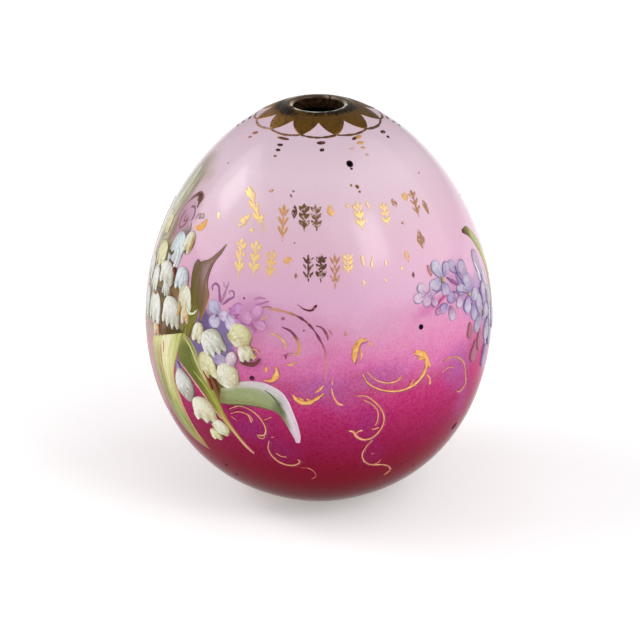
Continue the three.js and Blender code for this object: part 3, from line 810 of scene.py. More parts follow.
# Scrolls of the CAD model.
SCROLLS = {
    "scroll_centre_outer": [
        (-18, 14, 0.35), (-14.3, 13.8, 0.45), (-10, 13.3, 0.4), (-5.4, 11.9, 0.36), (-2, 9.5, 0.34),
        (0.3, 6.6, 0.32), (2, 3.5, 0.34), (2.3, -1, 0.36), (2, -5.5, 0.3),
    ],
    "scroll_centre_inner": [
        (-12, 9.5, 0.2), (-9, 8.5, 0.3), (-6.8, 6.3, 0.5), (-6.2, 3.8, 0.65), (-7.2, 1.9, 0.5),
    ],
    "scroll_hook": [
        (-13.6, -1.2, 0.22), (-13.2, -2.6, 0.45), (-13.5, -4.0, 0.75), (-14.9, -5.4, 0.5),
        (-17.5, -5.6, 0.2),
    ],
    "scroll_crescent": [
        (-8.4, -8.9, 0.2), (-7, -10.4, 0.45), (-5, -11.3, 0.6), (-2.8, -11.1, 0.55), (-0.5, -9.9, 0.4),
        (1.6, -8.4, 0.2),
    ],
    "scroll_comma": [
        (15.5, 5.6, 0.2), (13.4, 5.4, 0.4), (12, 4.0, 0.75), (11.4, 2.0, 0.7), (11.3, -0.3, 0.25),
    ],
    "scroll_right_upper": [
        (13.8, -3.2, 0.12), (15.6, -6.1, 0.18), (19.7, -8.5, 0.2), (25, -9.8, 0.24), (29.3, -9.7, 0.3),
        (33.4, -8.3, 0.38), (36, -5.7, 0.5), (36.7, -3.2, 0.6), (35.8, -1.3, 0.85), (33.9, -0.5, 0.75),
        (31.6, -0.1, 0.2),
    ],
    "scroll_right_upper_inner": [
        (15.2, -2.9, 0.2), (18.2, -5.5, 0.28), (22, -6.9, 0.34), (25.4, -6.8, 0.3), (27.4, -6.1, 0.18),
    ],
    "scroll_right_lower": [
        (11.8, -9.6, 0.2), (15.1, -10, 0.26), (18.4, -12.4, 0.3), (21, -15.6, 0.32), (21.7, -18.8, 0.34),
        (20.5, -21.9, 0.34), (17.9, -24.1, 0.42), (15.1, -24.3, 0.4), (12.7, -22.9, 0.6),
        (11.5, -21.2, 0.6),
        (9.8, -20.6, 0.25),
    ],
    "scroll_right_lower_inner": [
        (14.2, -10.9, 0.18), (17.1, -12.6, 0.24), (19.2, -15, 0.28), (19.4, -18.2, 0.28),
        (18.7, -19.8, 0.3),
    ],
    "scroll_right_tail": [
        (18.5, -24.6, 0.25), (16.4, -27.3, 0.26), (15.5, -30.4, 0.28), (17.5, -34, 0.28),
        (20.8, -35.6, 0.24),
        (24, -36.1, 0.24), (27.5, -37.6, 0.26), (29.4, -40.2, 0.24), (27.6, -42.5, 0.2),
    ],
    "scroll_left_lower": [
        (-30.4, -16.3, 0.2), (-26.2, -14.5, 0.26), (-22.2, -15.2, 0.28), (-19.3, -17.4, 0.3),
        (-17.7, -20.6, 0.34), (-18.4, -23, 0.42), (-20.6, -23.5, 0.4),
    ],
    "scroll_low_wave": [
        (-16.9, -24.8, 0.2), (-17.7, -27.9, 0.26), (-16.7, -31, 0.32), (-14.3, -33.3, 0.38),
        (-11.2, -34.3, 0.42), (-8, -33.7, 0.36), (-6.8, -32.2, 0.34), (-7.6, -31.4, 0.2),
    ],
    "scroll_far_right": [
        (43.5, -4.9, 0.2), (47, -4.5, 0.3), (51.2, -5.7, 0.36), (54.6, -8.5, 0.4), (55.8, -11.7, 0.3),
        (57, -15.2, 0.35), (54.6, -16.8, 0.4), (52.2, -16.4, 0.3),
    ],
    "scroll_far_left": [
        (-61.5, 34.4, 0.4), (-62.4, 37, 1.2), (-65, 38.2, 1.3), (-68.5, 36.6, 0.7), (-71, 34, 0.35),
        (-72.5, 30, 0.25), (-71, 26.5, 0.2),
    ],
    "scroll_back_left": [
        (-172, 4, 0.25), (-168, -1, 0.4), (-160, -4, 0.5), (-151, -5, 0.5), (-144, -1.5, 0.6),
        (-140, 6, 0.7), (-144, 11.5, 0.6), (-151, 12.5, 0.4), (-154, 9.5, 0.25),
    ],
    "scroll_back_low": [
        (-166, -30, 0.2), (-162, -25, 0.3), (-154, -21.5, 0.45), (-143, -20.5, 0.5), (-135, -25, 0.6),
        (-134, -31, 0.5), (-139, -35, 0.25),
    ],
}
BRIGHT_SCROLLS = {"scroll_comma", "scroll_right_upper", "scroll_crescent", "scroll_hook",
                  "scroll_back_left"}

# Colours along the scrolls whose gold has gone, from start to end.
RUBBED_SCROLLS = {
    "scroll_centre_outer": [
        (0.0, (208, 156, 140)), (0.22, (198, 140, 116)), (0.34, (104, 50, 70)), (0.55, (118, 60, 84)),
        (0.68, (166, 100, 118)), (0.8, (206, 138, 136)), (1.0, (196, 112, 150)),
    ],
    "scroll_centre_inner": [
        (0.0, (120, 64, 92)), (0.4, (124, 68, 84)), (0.62, (206, 150, 98)), (1.0, (214, 160, 110)),
    ],
    "scroll_far_left": [
        (0.0, (104, 72, 52)), (0.22, (84, 56, 42)), (0.36, (124, 84, 74)), (0.5, (150, 108, 124)),
        (1.0, (170, 128, 146)),
    ],
}

# Short strokes and drops that belong to a scroll: stations and colour.
SCROLL_EXTRAS = {
    "scroll_right_upper": [
        ([(36.8, -7.2, 0.2), (38, -8.4, 0.28), (38.3, -10.4, 0.35)], GOLD_PEACH),
        ([(35.6, -2.2, 0.2), (34.2, -1.9, 0.4), (33.2, -2.2, 0.2)], GOLD_BRIGHT),
        ([(38.2, -5.2, 0.12), (37.6, -4.2, 0.4), (37.4, -3, 0.2)], GOLD_BRIGHT),
        ([(34.6, -0.4, 0.3), (33, 0.3, 0.4), (32, 0.3, 0.15)], GOLD_BRIGHT),
        ([(30.3, -8.9, 0.22), (31.2, -8, 0.2), (31.4, -7.2, 0.1)], GOLD_PEACH),
        ([(20.6, -4.1, 0.16), (21.2, -4.0, 0.2)], GOLD_PEACH),
        ([(25.8, -6.6, 0.2), (27.2, -5.4, 0.14)], GOLD_PEACH),
    ],
    "scroll_right_lower": [
        ([(14.7, -21.0, 0.35), (13.2, -21.1, 0.35), (12.3, -22.2, 0.3)], GOLD_PEACH),
        ([(20.3, -20.6, 0.25), (18.6, -21, 0.32), (17.6, -20.8, 0.2)], GOLD_PEACH),
        ([(15.6, -8.3, 0.22), (16, -8.3, 0.22)], GOLD_PEACH),
        ([(16.6, -8.9, 0.22), (17, -8.9, 0.22)], GOLD_PEACH),
        ([(17.7, -9.3, 0.2), (18.1, -9.3, 0.2)], GOLD_PEACH),
    ],
    "scroll_right_tail": [
        ([(21, -35.4, 0.2), (22.6, -34.8, 0.2), (23.4, -33.8, 0.12)], GOLD_PEACH),
        ([(18.8, -30.6, 0.12), (20, -30.3, 0.14)], GOLD_PEACH),
    ],
    "scroll_hook": [([(-16.6, -1.5, 0.2), (-16.7, -2.6, 0.42), (-16.6, -3.2, 0.2)], GOLD_BRIGHT)],
    "scroll_crescent": [
        ([(-1.2, -8.3, 0.15), (0.2, -7.4, 0.3), (1.6, -6.0, 0.12)], GOLD_BRIGHT),
        ([(-6.2, -9.6, 0.1), (-5.4, -10.4, 0.3), (-4.6, -10.4, 0.14)], GOLD_BRIGHT),
        ([(-3.8, -9.8, 0.1), (-3.4, -10.4, 0.3), (-2.6, -10.2, 0.14)], GOLD_BRIGHT),
        ([(3.9, -6.5, 0.14), (4.6, -9.2, 0.2), (6.2, -11.6, 0.3), (7.8, -12.2, 0.32)], GOLD_PEACH),
        ([(4.4, -4.2, 0.16), (4.2, -6, 0.2)], GOLD_PEACH),
    ],
    "scroll_left_lower": [
        ([(-30.2, -17.8, 0.14), (-26.6, -16.5, 0.24), (-23.6, -17, 0.26), (-22.4, -19.4, 0.3)],
         GOLD_PEACH),
        ([(-24, -16.4, 0.12), (-22.6, -17.4, 0.2), (-21.8, -18.8, 0.14)], GOLD_PEACH),
        ([(-21, -23.2, 0.2), (-20.4, -24.3, 0.25), (-18.9, -24.4, 0.2), (-18.2, -23.3, 0.12)],
         GOLD_PEACH),
        ([(-18, -17.8, 0.12), (-16.6, -17.2, 0.16), (-15.3, -16.5, 0.24)], GOLD_PEACH),
        ([(-29.8, -18.6, 0.1), (-28, -19.6, 0.2)], GOLD_PEACH),
    ],
    "scroll_low_wave": [
        ([(-15.2, -29.4, 0.12), (-13.6, -30.6, 0.24), (-11.4, -30.8, 0.2)], GOLD_PEACH),
        ([(-6.8, -35.2, 0.14), (-4, -35.2, 0.2), (-1.6, -37.2, 0.22), (-1.2, -39.6, 0.2),
          (-3, -41, 0.14)], (196, 96, 96)),
        ([(-16.2, -23.6, 0.2), (-15.2, -23.4, 0.22)], GOLD_PEACH),
    ],
    "scroll_comma": [
        ([(11.6, 5.2, 0.25), (13.5, 6.0, 0.3), (15.8, 5.9, 0.16)], GOLD_BRIGHT),
        ([(10.6, 3.8, 0.14), (11.2, 4.4, 0.3), (12.2, 4.8, 0.2)], GOLD_BRIGHT),
        ([(15.8, 4.9, 0.14), (17, 4.4, 0.24), (17.4, 3.8, 0.1)], GOLD_BRIGHT),
        ([(13.2, 3.6, 0.16), (13.6, 1.8, 0.32), (13.0, 0.4, 0.14)], (216, 160, 110)),
    ],
    "scroll_far_right": [
        ([(43.2, -8.0, 0.14), (46.3, -7.3, 0.26), (49.3, -8.2, 0.16)], (214, 152, 118)),
    ],
    "scroll_far_left": [
        ([(-56.8, 29.8, 0.5), (-54.2, 30.2, 1.1), (-52.3, 31.4, 1.0), (-51.8, 33.2, 0.5)], GOLD_BRIGHT),
        ([(-57, 32.2, 0.3), (-55.6, 33.4, 1.0), (-54, 33, 0.5)], (150, 140, 160)),
        ([(-47.2, 36.4, 0.3), (-46.2, 35.2, 0.8), (-45.2, 34.4, 0.3)], (255, 240, 205)),
    ],
    "scroll_centre_inner": [
        ([(-16, 7.6, 0.2), (-12.6, 6.8, 0.3), (-10.7, 5.0, 0.42), (-10.8, 3.6, 0.3)], (214, 164, 140)),
        ([(-11.4, 1.9, 0.14), (-9.6, 2.2, 0.4), (-8.2, 2.6, 0.2)], (168, 88, 128)),
        ([(-10.4, -0.6, 0.16), (-8.4, -0.4, 0.3), (-7.2, 0.6, 0.2)], (206, 156, 106)),
    ],
    "scroll_centre_outer": [
        ([(-0.9, 10.2, 0.16), (1.2, 9.5, 0.3), (2.8, 7.4, 0.3), (3, 6.2, 0.14)], (134, 76, 100)),
        ([(3.2, 9.2, 0.14), (4.4, 7.8, 0.24)], (176, 116, 140)),
        ([(-7.2, 15.6, 0.1), (-4.4, 14.3, 0.22), (-2.2, 14.2, 0.3), (-1.0, 15.2, 0.42),
          (-0.6, 15.6, 0.3)], (98, 44, 58)),
        ([(-5, 8.9, 0.3), (-4.5, 8.8, 0.34)], (106, 56, 78)),
        ([(-12, 11.8, 0.35), (-11.2, 11.7, 0.35)], (168, 104, 100)),
        ([(8.6, 8.4, 0.4), (8.8, 7.2, 0.45)], (178, 112, 118)),
        ([(-16.8, 12.2, 0.3), (-19, 10.6, 0.4), (-20.6, 9.2, 0.2)], (206, 156, 150)),
    ],
}

# Line width of a scroll against the CAD model's.
SLIM = 0.52
SLIM_BRIGHT = 0.9
SLIM_RUBBED = 0.8


def gold_paint(base, edge=GOLD_DEEP, seed=0):
    def paint(u, v, lon, lat):
        colours = mix(base, GOLD_PALE, 0.4 * ease(0.1, 1, cloud(lon * 0.7, lat * 0.8, 1.6, seed)))
        return mix(colours, edge, 0.55 * ease(0.6, 1.0, np.abs(v)))
    return paint


def rubbed_paint(stops):
    def paint(u, v, lon, lat):
        return mix(gradient(stops, u), ground_colour(lon, lat), 0.6 * ease(0.5, 1, np.abs(v)))
    return paint


def shade_paint(strength):
    """Painted shadow: the dark line that shows beside raised gold."""
    def paint(u, v, lon, lat):
        return mix(ground_colour(lon, lat), SCROLL_SHADE, strength * ease(1.0, 0.3, np.abs(v)))
    return paint


def scroll_base(name):
    if name in BRIGHT_SCROLLS:
        return GOLD_BRIGHT
    return GOLD_TAN if name == "scroll_far_right" else GOLD_PEACH


def scrolls():
    for number, (name, stations) in enumerate(SCROLLS.items()):
        shell = Shell()
        bright = name in BRIGHT_SCROLLS
        rubbed = name in RUBBED_SCROLLS
        slim = SLIM_BRIGHT if bright else SLIM_RUBBED if rubbed else SLIM
        thin = [(lon, lat, half * slim) for lon, lat, half in stations]
        if rubbed:
            paint = rubbed_paint(RUBBED_SCROLLS[name])
            add_stroke(shell, thin, paint, gold=0.1, thickness=0.05, waver=0.25, seed=number)
        else:
            # a painted shadow of the raised gold, set off to the right and down
            shade = [(lon + SHADE_SHIFT, lat - SHADE_SHIFT, half + SHADE_SPREAD)
                     for lon, lat, half in thin]
            add_stroke(shell, shade, shade_paint(0.5 if bright else 0.2), thickness=0.02, across=8)
            add_stroke(shell, thin, gold_paint(scroll_base(name), seed=number), gold=SCROLL_GILT,
                       lift=0.03, thickness=0.14, waver=0.14, seed=number)
        for extra, colour in SCROLL_EXTRAS.get(name, []):
            line = [(lon, lat, half * slim) for lon, lat, half in extra]
            add_stroke(shell, line, gold_paint(colour, mix(colour, GOLD_DEEP, 0.4), number),
                       gold=0.1 if rubbed else SCROLL_GILT, lift=0.02, thickness=0.1, across=5,
                       spacing=0.3, waver=0.12, seed=number)
        shell.build(name + "_gilt", GILDING, "gilding", [name])


# ---- Sprigs ----
YELLOW_GOLD = (252, 216, 142)
ORANGE_GOLD = (244, 190, 116)
RUBBED_BROWN = (112, 86, 52)
RUBBED_DARK = (98, 70, 62)
FAINT_GOLD = (244, 208, 168)

# Two rows: lon, lat, lean, length and half width in mm, colour, and whether the CAD model has it.
SPRIG_ROWS = {
    "upper": [
        (-28.9, 39.8, 7.4, 9.6, 0.8, YELLOW_GOLD, True), (-32.6, 35.8, -2, 3.4, 0.75, YELLOW_GOLD, False),
        (-15.1, 36.9, 0.9, 8.4, 0.42, (214, 158, 108), False),
        (-10.7, 40.1, 0.2, 3.2, 0.5, RUBBED_DARK, False),
        (-6.2, 38.8, 0.4, 6.4, 0.78, RUBBED_BROWN, True), (-1, 38.8, 0.3, 6.2, 0.55, (132, 98, 76), True),
        (5.4, 40.6, 0.5, 2.7, 0.8, ORANGE_GOLD, False), (13.4, 41.8, 0.1, 1.3, 0.5, FAINT_GOLD, False),
        (18, 38.7, 0.2, 6.8, 0.7, YELLOW_GOLD, True), (23, 41.4, 0.4, 2.2, 0.35, FAINT_GOLD, False),
        (30, 38, -0.6, 5.6, 0.5, (250, 212, 140), False),
        (36.3, 40.6, 0.3, 2.2, 0.6, (164, 122, 92), False),
        (43.6, 41.4, -0.3, 2.1, 0.8, (228, 176, 112), False),
        (47.4, 38.7, -1.4, 6.5, 0.5, (176, 130, 92), True),
        (52.6, 36.6, -0.3, 3.6, 0.6, (166, 122, 90), False),
        (36.9, 34.6, 0, 0.8, 0.5, (170, 124, 104), False),
        (-24, 45.7, 0.4, 0.9, 0.5, (206, 154, 112), False),
        (-27.9, 33.7, 0.6, 0.8, 0.5, YELLOW_GOLD, False),
    ],
    "lower": [
        (-30, 25.9, 1.3, 8.8, 0.7, YELLOW_GOLD, True), (-24, 26.3, 0.6, 8.2, 0.72, YELLOW_GOLD, False),
        (-17.6, 25.4, 0.1, 6.6, 0.62, (250, 206, 128), True),
        (-11.4, 26.8, 0.7, 2, 0.85, ORANGE_GOLD, False),
        (-8, 23, 0, 1.3, 0.4, (170, 118, 120), False), (-3.7, 25, 0.2, 6.2, 0.34, RUBBED_DARK, False),
        (0.9, 25.1, -0.2, 6.2, 0.62, RUBBED_DARK, True),
        (5.9, 24.3, -0.3, 7.9, 0.36, (190, 136, 104), False),
        (10.7, 26.2, -0.2, 4.6, 0.62, YELLOW_GOLD, True), (16.5, 26.5, 0.2, 2.8, 0.45, FAINT_GOLD, False),
        (15.8, 20.8, 0.6, 1.1, 0.4, FAINT_GOLD, False), (19.9, 25.8, -0.6, 2.5, 0.32, FAINT_GOLD, False),
        (25.2, 25.1, -0.3, 1.4, 0.35, FAINT_GOLD, False), (23.9, 20.7, 0.5, 1.1, 0.35, FAINT_GOLD, False),
        (34.3, 25.7, 0.2, 2.7, 0.55, (222, 170, 116), False),
        (42.8, 29.1, -0.4, 4.5, 0.85, (164, 122, 92), False),
        (35.2, 20.6, -0.3, 1.4, 0.25, (120, 76, 76), False), (31, 22.8, -0.4, 1, 0.3, FAINT_GOLD, False),
    ],
}
LEAF_PAIRS = (-0.34, -0.08, 0.16)  # where pairs of side leaves leave the stem, as shares of its length
TWIG_LENGTH = 4.6  # marks at least this long are twigs, shorter ones are single leaves, mm
SIDE_REACH = 1.15  # how far a side leaf's tip stands off the stem, mm


def sprig(shell, lon, lat, lean, length, half, colour, seed):
    """An upright laurel twig: a pointed leaf on a thin stem with pairs of side leaves that rise
    outwards. Positive lean puts the foot to the right of the tip."""
    def paint(u, v, lon, lat):
        return mix(colour, mix(colour, GOLD_DEEP, 0.35), ease(0.5, 1, np.abs(v)))

    def leaf(right, up, tip_right, tip_up, width):
        shares = np.linspace(0, 1, 7)
        spots = [offset(lon, lat, right + (tip_right - right) * t, up + (tip_up - up) * t) for t in shares]
        widths = 0.08 + width * np.sin(math.pi * shares) ** 0.8
        add_stroke(shell, [(*spot, w) for spot, w in zip(spots, widths)], paint, gold=0.3,
                   thickness=0.08, spacing=0.3, waver=0.15, seed=seed)

    def stem(share):
        return -lean * share, length * share

    if length < TWIG_LENGTH:
        leaf(*stem(-0.5), *stem(0.5), half)
        return
    leaf(*stem(-0.5), *stem(0.3), half * 0.45)
    leaf(*stem(0.12), *stem(0.5), half * 0.8)
    for share in LEAF_PAIRS:
        right, up = stem(share)
        for side in (-1, 1):
            leaf(right, up, right + side * SIDE_REACH - lean * 0.24, up + length * 0.24, half * 0.62)


def sprigs():
    for row, marks in SPRIG_ROWS.items():
        rest = Shell()
        number = 0
        for seed, (*shape, in_cad) in enumerate(marks):
            shell = Shell() if in_cad else rest
            sprig(shell, *shape, seed)
            if in_cad:
                number += 1
                shell.build(f"sprig_{row}_{number}", GILDING_WORN, "gilding", [f"gilt_sprig_{row}_{number}"])
        rest.build(f"sprigs_{row}_small", GILDING_WORN, "gilding")


# ---- Leaves ----
# Edges of the leaves of the CAD model, (lon, lat, lon, lat) from top or base to tip.
LEAF_EDGES = {
    "leaf_tall": [
        (-37.2, 28.6, -37.6, 28.4), (-38.3, 25.9, -40.4, 25.6), (-40.2, 23.4, -43.4, 23.4),
        (-41.1, 21, -46.6, 22), (-41.4, 18.2, -46.5, 18.5), (-40.8, 16.3, -45.9, 16),
        (-39.7, 14.6, -45, 13.4), (-39.9, 11.8, -43.8, 11), (-40.8, 8.8, -42.5, 8.6),
        (-41.6, 6.6, -41.9, 6.6),
    ],
    "leaf_light": [
        (-49.6, 1.8, -69.4, -4.6), (-50.8, -1.5, -70.6, -7.2), (-52.5, -5.5, -70.8, -9.7),
        (-54.3, -10, -69.6, -12.8), (-54.6, -14, -68, -16.2), (-53.3, -18.7, -65.8, -20),
        (-51.8, -24.1, -63, -25.7), (-49.3, -28.1, -58.8, -30.2), (-46.9, -31.7, -52.6, -33.6),
        (-45.4, -35, -45.9, -35.4),
    ],
    "leaf_blade": [
        (-48.8, 2, -49.4, 1.6), (-45.8, 0.9, -50.5, -1), (-43.3, -1.1, -51.6, -4.2),
        (-41.4, -3.8, -51.2, -6.6),
        (-39.6, -6.4, -46.8, -8.7), (-37.6, -8.7, -42.8, -11.4), (-35.5, -11.4, -39.1, -15),
        (-33.8, -14.6, -36, -17.8), (-32.4, -18, -34, -20), (-30.4, -21.4, -31.9, -22.6),
        (-28.2, -24.6, -29.4, -25.4), (-25.8, -27.8, -26.8, -28.6), (-23.3, -30.8, -23.9, -31.4),
    ],
    "leaf_drooping": [
        (-33, -10.4, -34, -15), (-29, -8.7, -30.3, -14.7), (-25.2, -7, -27.2, -14.2),
        (-21, -6.3, -23.1, -13.8),
        (-17.9, -6.3, -20.3, -13.8), (-14.9, -7, -17.6, -14), (-11.6, -8.6, -15, -14.4),
        (-9.7, -10.9, -12.8, -15.5), (-8.5, -13.6, -11.3, -17.4), (-6.8, -18.3, -9.4, -20.8),
        (-6, -22.6, -8.2, -23.2), (-6.3, -24.8, -7.6, -24.8),
    ],
    "leaf_edge_stem": [
        (69.3, 25.9, 69.1, 25.1), (75, 25.6, 73.6, 22.8), (81.2, 21, 77.6, 18.8), (86.4, 15, 81, 14),
        (89.2, 8, 83.4, 8), (89.6, 0, 84.8, 0), (87.8, -9, 86.4, -9),
    ],
    "leaf_back_long": [
        (150.3, 22, 149.7, 22), (148, 17, 145, 17), (148.6, 10, 143.4, 10), (149.6, 2, 142.2, 2),
        (151.6, -6, 143.6, -7), (154.4, -14, 147.4, -17), (159.6, -22, 154.4, -25.4),
        (166.4, -30.6, 165.6, -31.4),
    ],
    "leaf_back_short": [
        (118.5, 16, 117.5, 16), (122, 12, 119.5, 10), (127, 6, 122, 3.6), (131.6, -2, 125.6, -3),
        (133, -9, 128, -10.5), (131.6, -16.5, 127.6, -16.5), (129.2, -22, 128.6, -22),
    ],
}
TALL_LEFT_EDGES = [
    (-48.4, 22.4, -48.9, 22.2), (-46.4, 21.8, -49.7, 20.8), (-45.3, 19.2, -49.7, 18.8),
    (-44.8, 15.6, -49.3, 16.6), (-44.5, 12.8, -48.4, 14), (-43.4, 10.4, -47.6, 11.4),
    (-43.6, 7.4, -47.7, 8.8), (-45.2, 4.6, -48, 5.6), (-46, 1.6, -47.6, 1.8),
]

# Leaf paint in bands across the leaf, (u, [(v, colour), ...]), from start to tip.
OLIVE_PAINT = [
    (0, [(-1, (118, 116, 58)), (1, (150, 148, 84))]),
    (0.3, [(-1, (112, 112, 50)), (0, (146, 150, 76)), (1, (168, 166, 100))]),
    (0.65, [(-1, (104, 108, 46)), (0.1, (132, 138, 64)), (1, (172, 160, 100))]),
    (1, [(-1, (150, 120, 74)), (1, (160, 124, 84))]),
]
TALL_LEFT_PAINT = [
    (0, [(-1, (113, 90, 72)), (1, (116, 92, 76))]),
    (0.22, [(-1, (98, 80, 50)), (0, (114, 94, 66)), (1, (122, 100, 80))]),
    (0.5, [(-1, (92, 82, 38)), (0, (102, 90, 46)), (1, (108, 96, 52))]),
    (0.68, [(-1, (96, 86, 34)), (0.2, (112, 112, 46)), (1, (130, 128, 62))]),
    (0.85, [(-1, (108, 98, 36)), (0, (118, 116, 42)), (1, (122, 112, 48))]),
    (1, [(-1, (112, 98, 44)), (1, (112, 98, 44))]),
]
LEAF_PAINT = {
    "leaf_tall": [
        (0, [(-1, (133, 101, 80)), (1, (133, 101, 80))]),
        (0.16, [(-1, (113, 90, 72)), (0.2, (140, 112, 98)), (1, (128, 98, 90))]),
        (0.42, [(-1, (112, 94, 66)), (-0.3, (136, 112, 98)), (0.3, (162, 132, 136)),
                (0.8, (146, 118, 108)), (1, (116, 80, 76))]),
        (0.66, [(-1, (102, 86, 50)), (-0.1, (126, 102, 76)), (0.6, (142, 112, 92)),
                (0.86, (152, 120, 98)), (1, (128, 88, 74))]),
        (0.85, [(-1, (106, 90, 46)), (0.2, (118, 94, 58)), (0.8, (150, 118, 80)), (1, (196, 146, 110))]),
        (1, [(-1, (112, 90, 50)), (1, (150, 116, 70))]),
    ],
    "leaf_light": [
        (0, [(-1, (168, 160, 100)), (-0.75, (202, 199, 144)), (-0.4, (206, 200, 148)),
             (0.1, (226, 221, 188)), (0.4, (224, 218, 180)), (0.75, (178, 184, 120)),
             (1, (190, 190, 130))]),
        (0.22, [(-1, (120, 120, 66)), (-0.7, (160, 160, 104)), (-0.35, (168, 148, 96)),
                (-0.2, (172, 152, 98)), (0, (216, 211, 166)), (0.35, (218, 214, 170)),
                (0.75, (208, 204, 152)), (1, (190, 186, 130))]),
        (0.4, [(-1, (112, 116, 62)), (-0.5, (162, 160, 98)), (-0.2, (126, 128, 72)),
               (0.1, (192, 187, 130)), (0.6, (192, 190, 134)), (0.9, (178, 168, 120)),
               (1, (204, 170, 140))]),
        (0.55, [(-1, (120, 122, 68)), (-0.4, (130, 130, 74)), (0, (142, 142, 84)), (0.4, (172, 174, 110)),
                (0.85, (166, 166, 104)), (1, (206, 160, 136))]),
        (0.72, [(-1, (120, 112, 68)), (-0.3, (124, 124, 74)), (0.1, (150, 156, 86)),
                (0.5, (146, 152, 86)), (0.85, (128, 128, 64)), (1, (196, 150, 112))]),
        (0.86, [(-1, (136, 122, 70)), (0, (148, 138, 78)), (0.6, (140, 128, 66)), (1, (178, 140, 96))]),
        (1, [(-1, (148, 116, 74)), (1, (150, 108, 78))]),
    ],
    "leaf_blade": [
        (0, [(-1, (160, 156, 96)), (1, (170, 166, 110))]),
        (0.1, [(-1, (108, 112, 56)), (0.45, (98, 104, 46)), (0.8, (120, 122, 62)), (1, (184, 180, 126))]),
        (0.25, [(-1, (92, 98, 42)), (0.2, (98, 103, 46)), (0.5, (120, 122, 60)), (0.7, (172, 168, 112)),
                (1, (168, 158, 96))]),
        (0.36, [(-1, (150, 128, 84)), (-0.85, (94, 94, 42)), (-0.2, (102, 98, 42)), (0.3, (134, 138, 62)),
                (0.7, (164, 164, 98)), (1, (150, 140, 70))]),
        (0.52, [(-1, (196, 158, 128)), (-0.7, (120, 110, 56)), (0, (146, 150, 66)), (0.6, (148, 152, 68)),
                (1, (138, 128, 62))]),
        (0.68, [(-1, (186, 156, 104)), (0, (174, 164, 88)), (1, (146, 120, 72))]),
        (0.82, [(-1, (168, 128, 92)), (0, (180, 150, 98)), (1, (170, 118, 88))]),
        (1, [(-1, (192, 130, 116)), (1, (196, 132, 138))]),
    ],
    "leaf_drooping": [
        (0, [(-1, (120, 112, 62)), (0.4, (136, 134, 84)), (1, (170, 168, 124))]),
        (0.12, [(-1, (140, 142, 88)), (-0.2, (150, 158, 106)), (0.4, (160, 168, 122)),
                (0.62, (186, 186, 160)), (1, (206, 198, 192))]),
        (0.34, [(-1, (146, 150, 98)), (0, (158, 166, 120)), (0.4, (162, 170, 130)),
                (0.55, (196, 188, 186)), (1, (222, 208, 210))]),
        (0.5, [(-1, (150, 150, 106)), (-0.4, (150, 158, 114)), (0.25, (160, 168, 130)),
               (0.42, (200, 192, 194)), (1, (226, 212, 216))]),
        (0.58, [(-1, (116, 116, 82)), (-0.3, (112, 120, 84)), (0.1, (128, 138, 106)),
                (0.3, (186, 178, 184)), (1, (224, 210, 216))]),
        (0.64, [(-1, (126, 110, 90)), (-0.5, (104, 110, 78)), (-0.15, (120, 128, 94)),
                (0, (196, 186, 192)), (1, (226, 212, 220))]),
        (0.74, [(-1, (140, 134, 104)), (-0.55, (150, 154, 116)), (-0.35, (190, 180, 184)),
                (0.3, (224, 208, 216)), (1, (214, 198, 210))]),
        (0.86, [(-1, (196, 178, 188)), (0, (222, 204, 214)), (1, (206, 186, 200))]),
        (1, [(-1, (212, 176, 198)), (1, (216, 186, 206))]),
    ],
    "leaf_edge_stem": [
        (0, [(-1, (70, 48, 34)), (1, (84, 56, 38))]), (0.07, [(-1, (96, 74, 40)), (1, (124, 112, 56))]),
        (0.15, [(-1, (140, 150, 78)), (0, (174, 184, 108)), (1, (156, 156, 88))]),
        (0.42, [(-1, (166, 164, 104)), (0, (194, 192, 132)), (1, (186, 180, 128))]),
        (1, [(-1, (176, 164, 140)), (1, (180, 170, 150))]),
    ],
    "leaf_back_long": OLIVE_PAINT,
    "leaf_back_short": OLIVE_PAINT,
}

# Leaf colours are this much stronger than in the tables, against the gloss over them.
LEAF_VIVID = {
    "leaf_tall": 1.05, "leaf_light": 1.26, "leaf_blade": 1.22, "leaf_drooping": 1.0,
    "leaf_edge_stem": 1.05,
    "leaf_back_long": 1.2, "leaf_back_short": 1.2,
}
TALL_LEFT_VIVID = 1.15

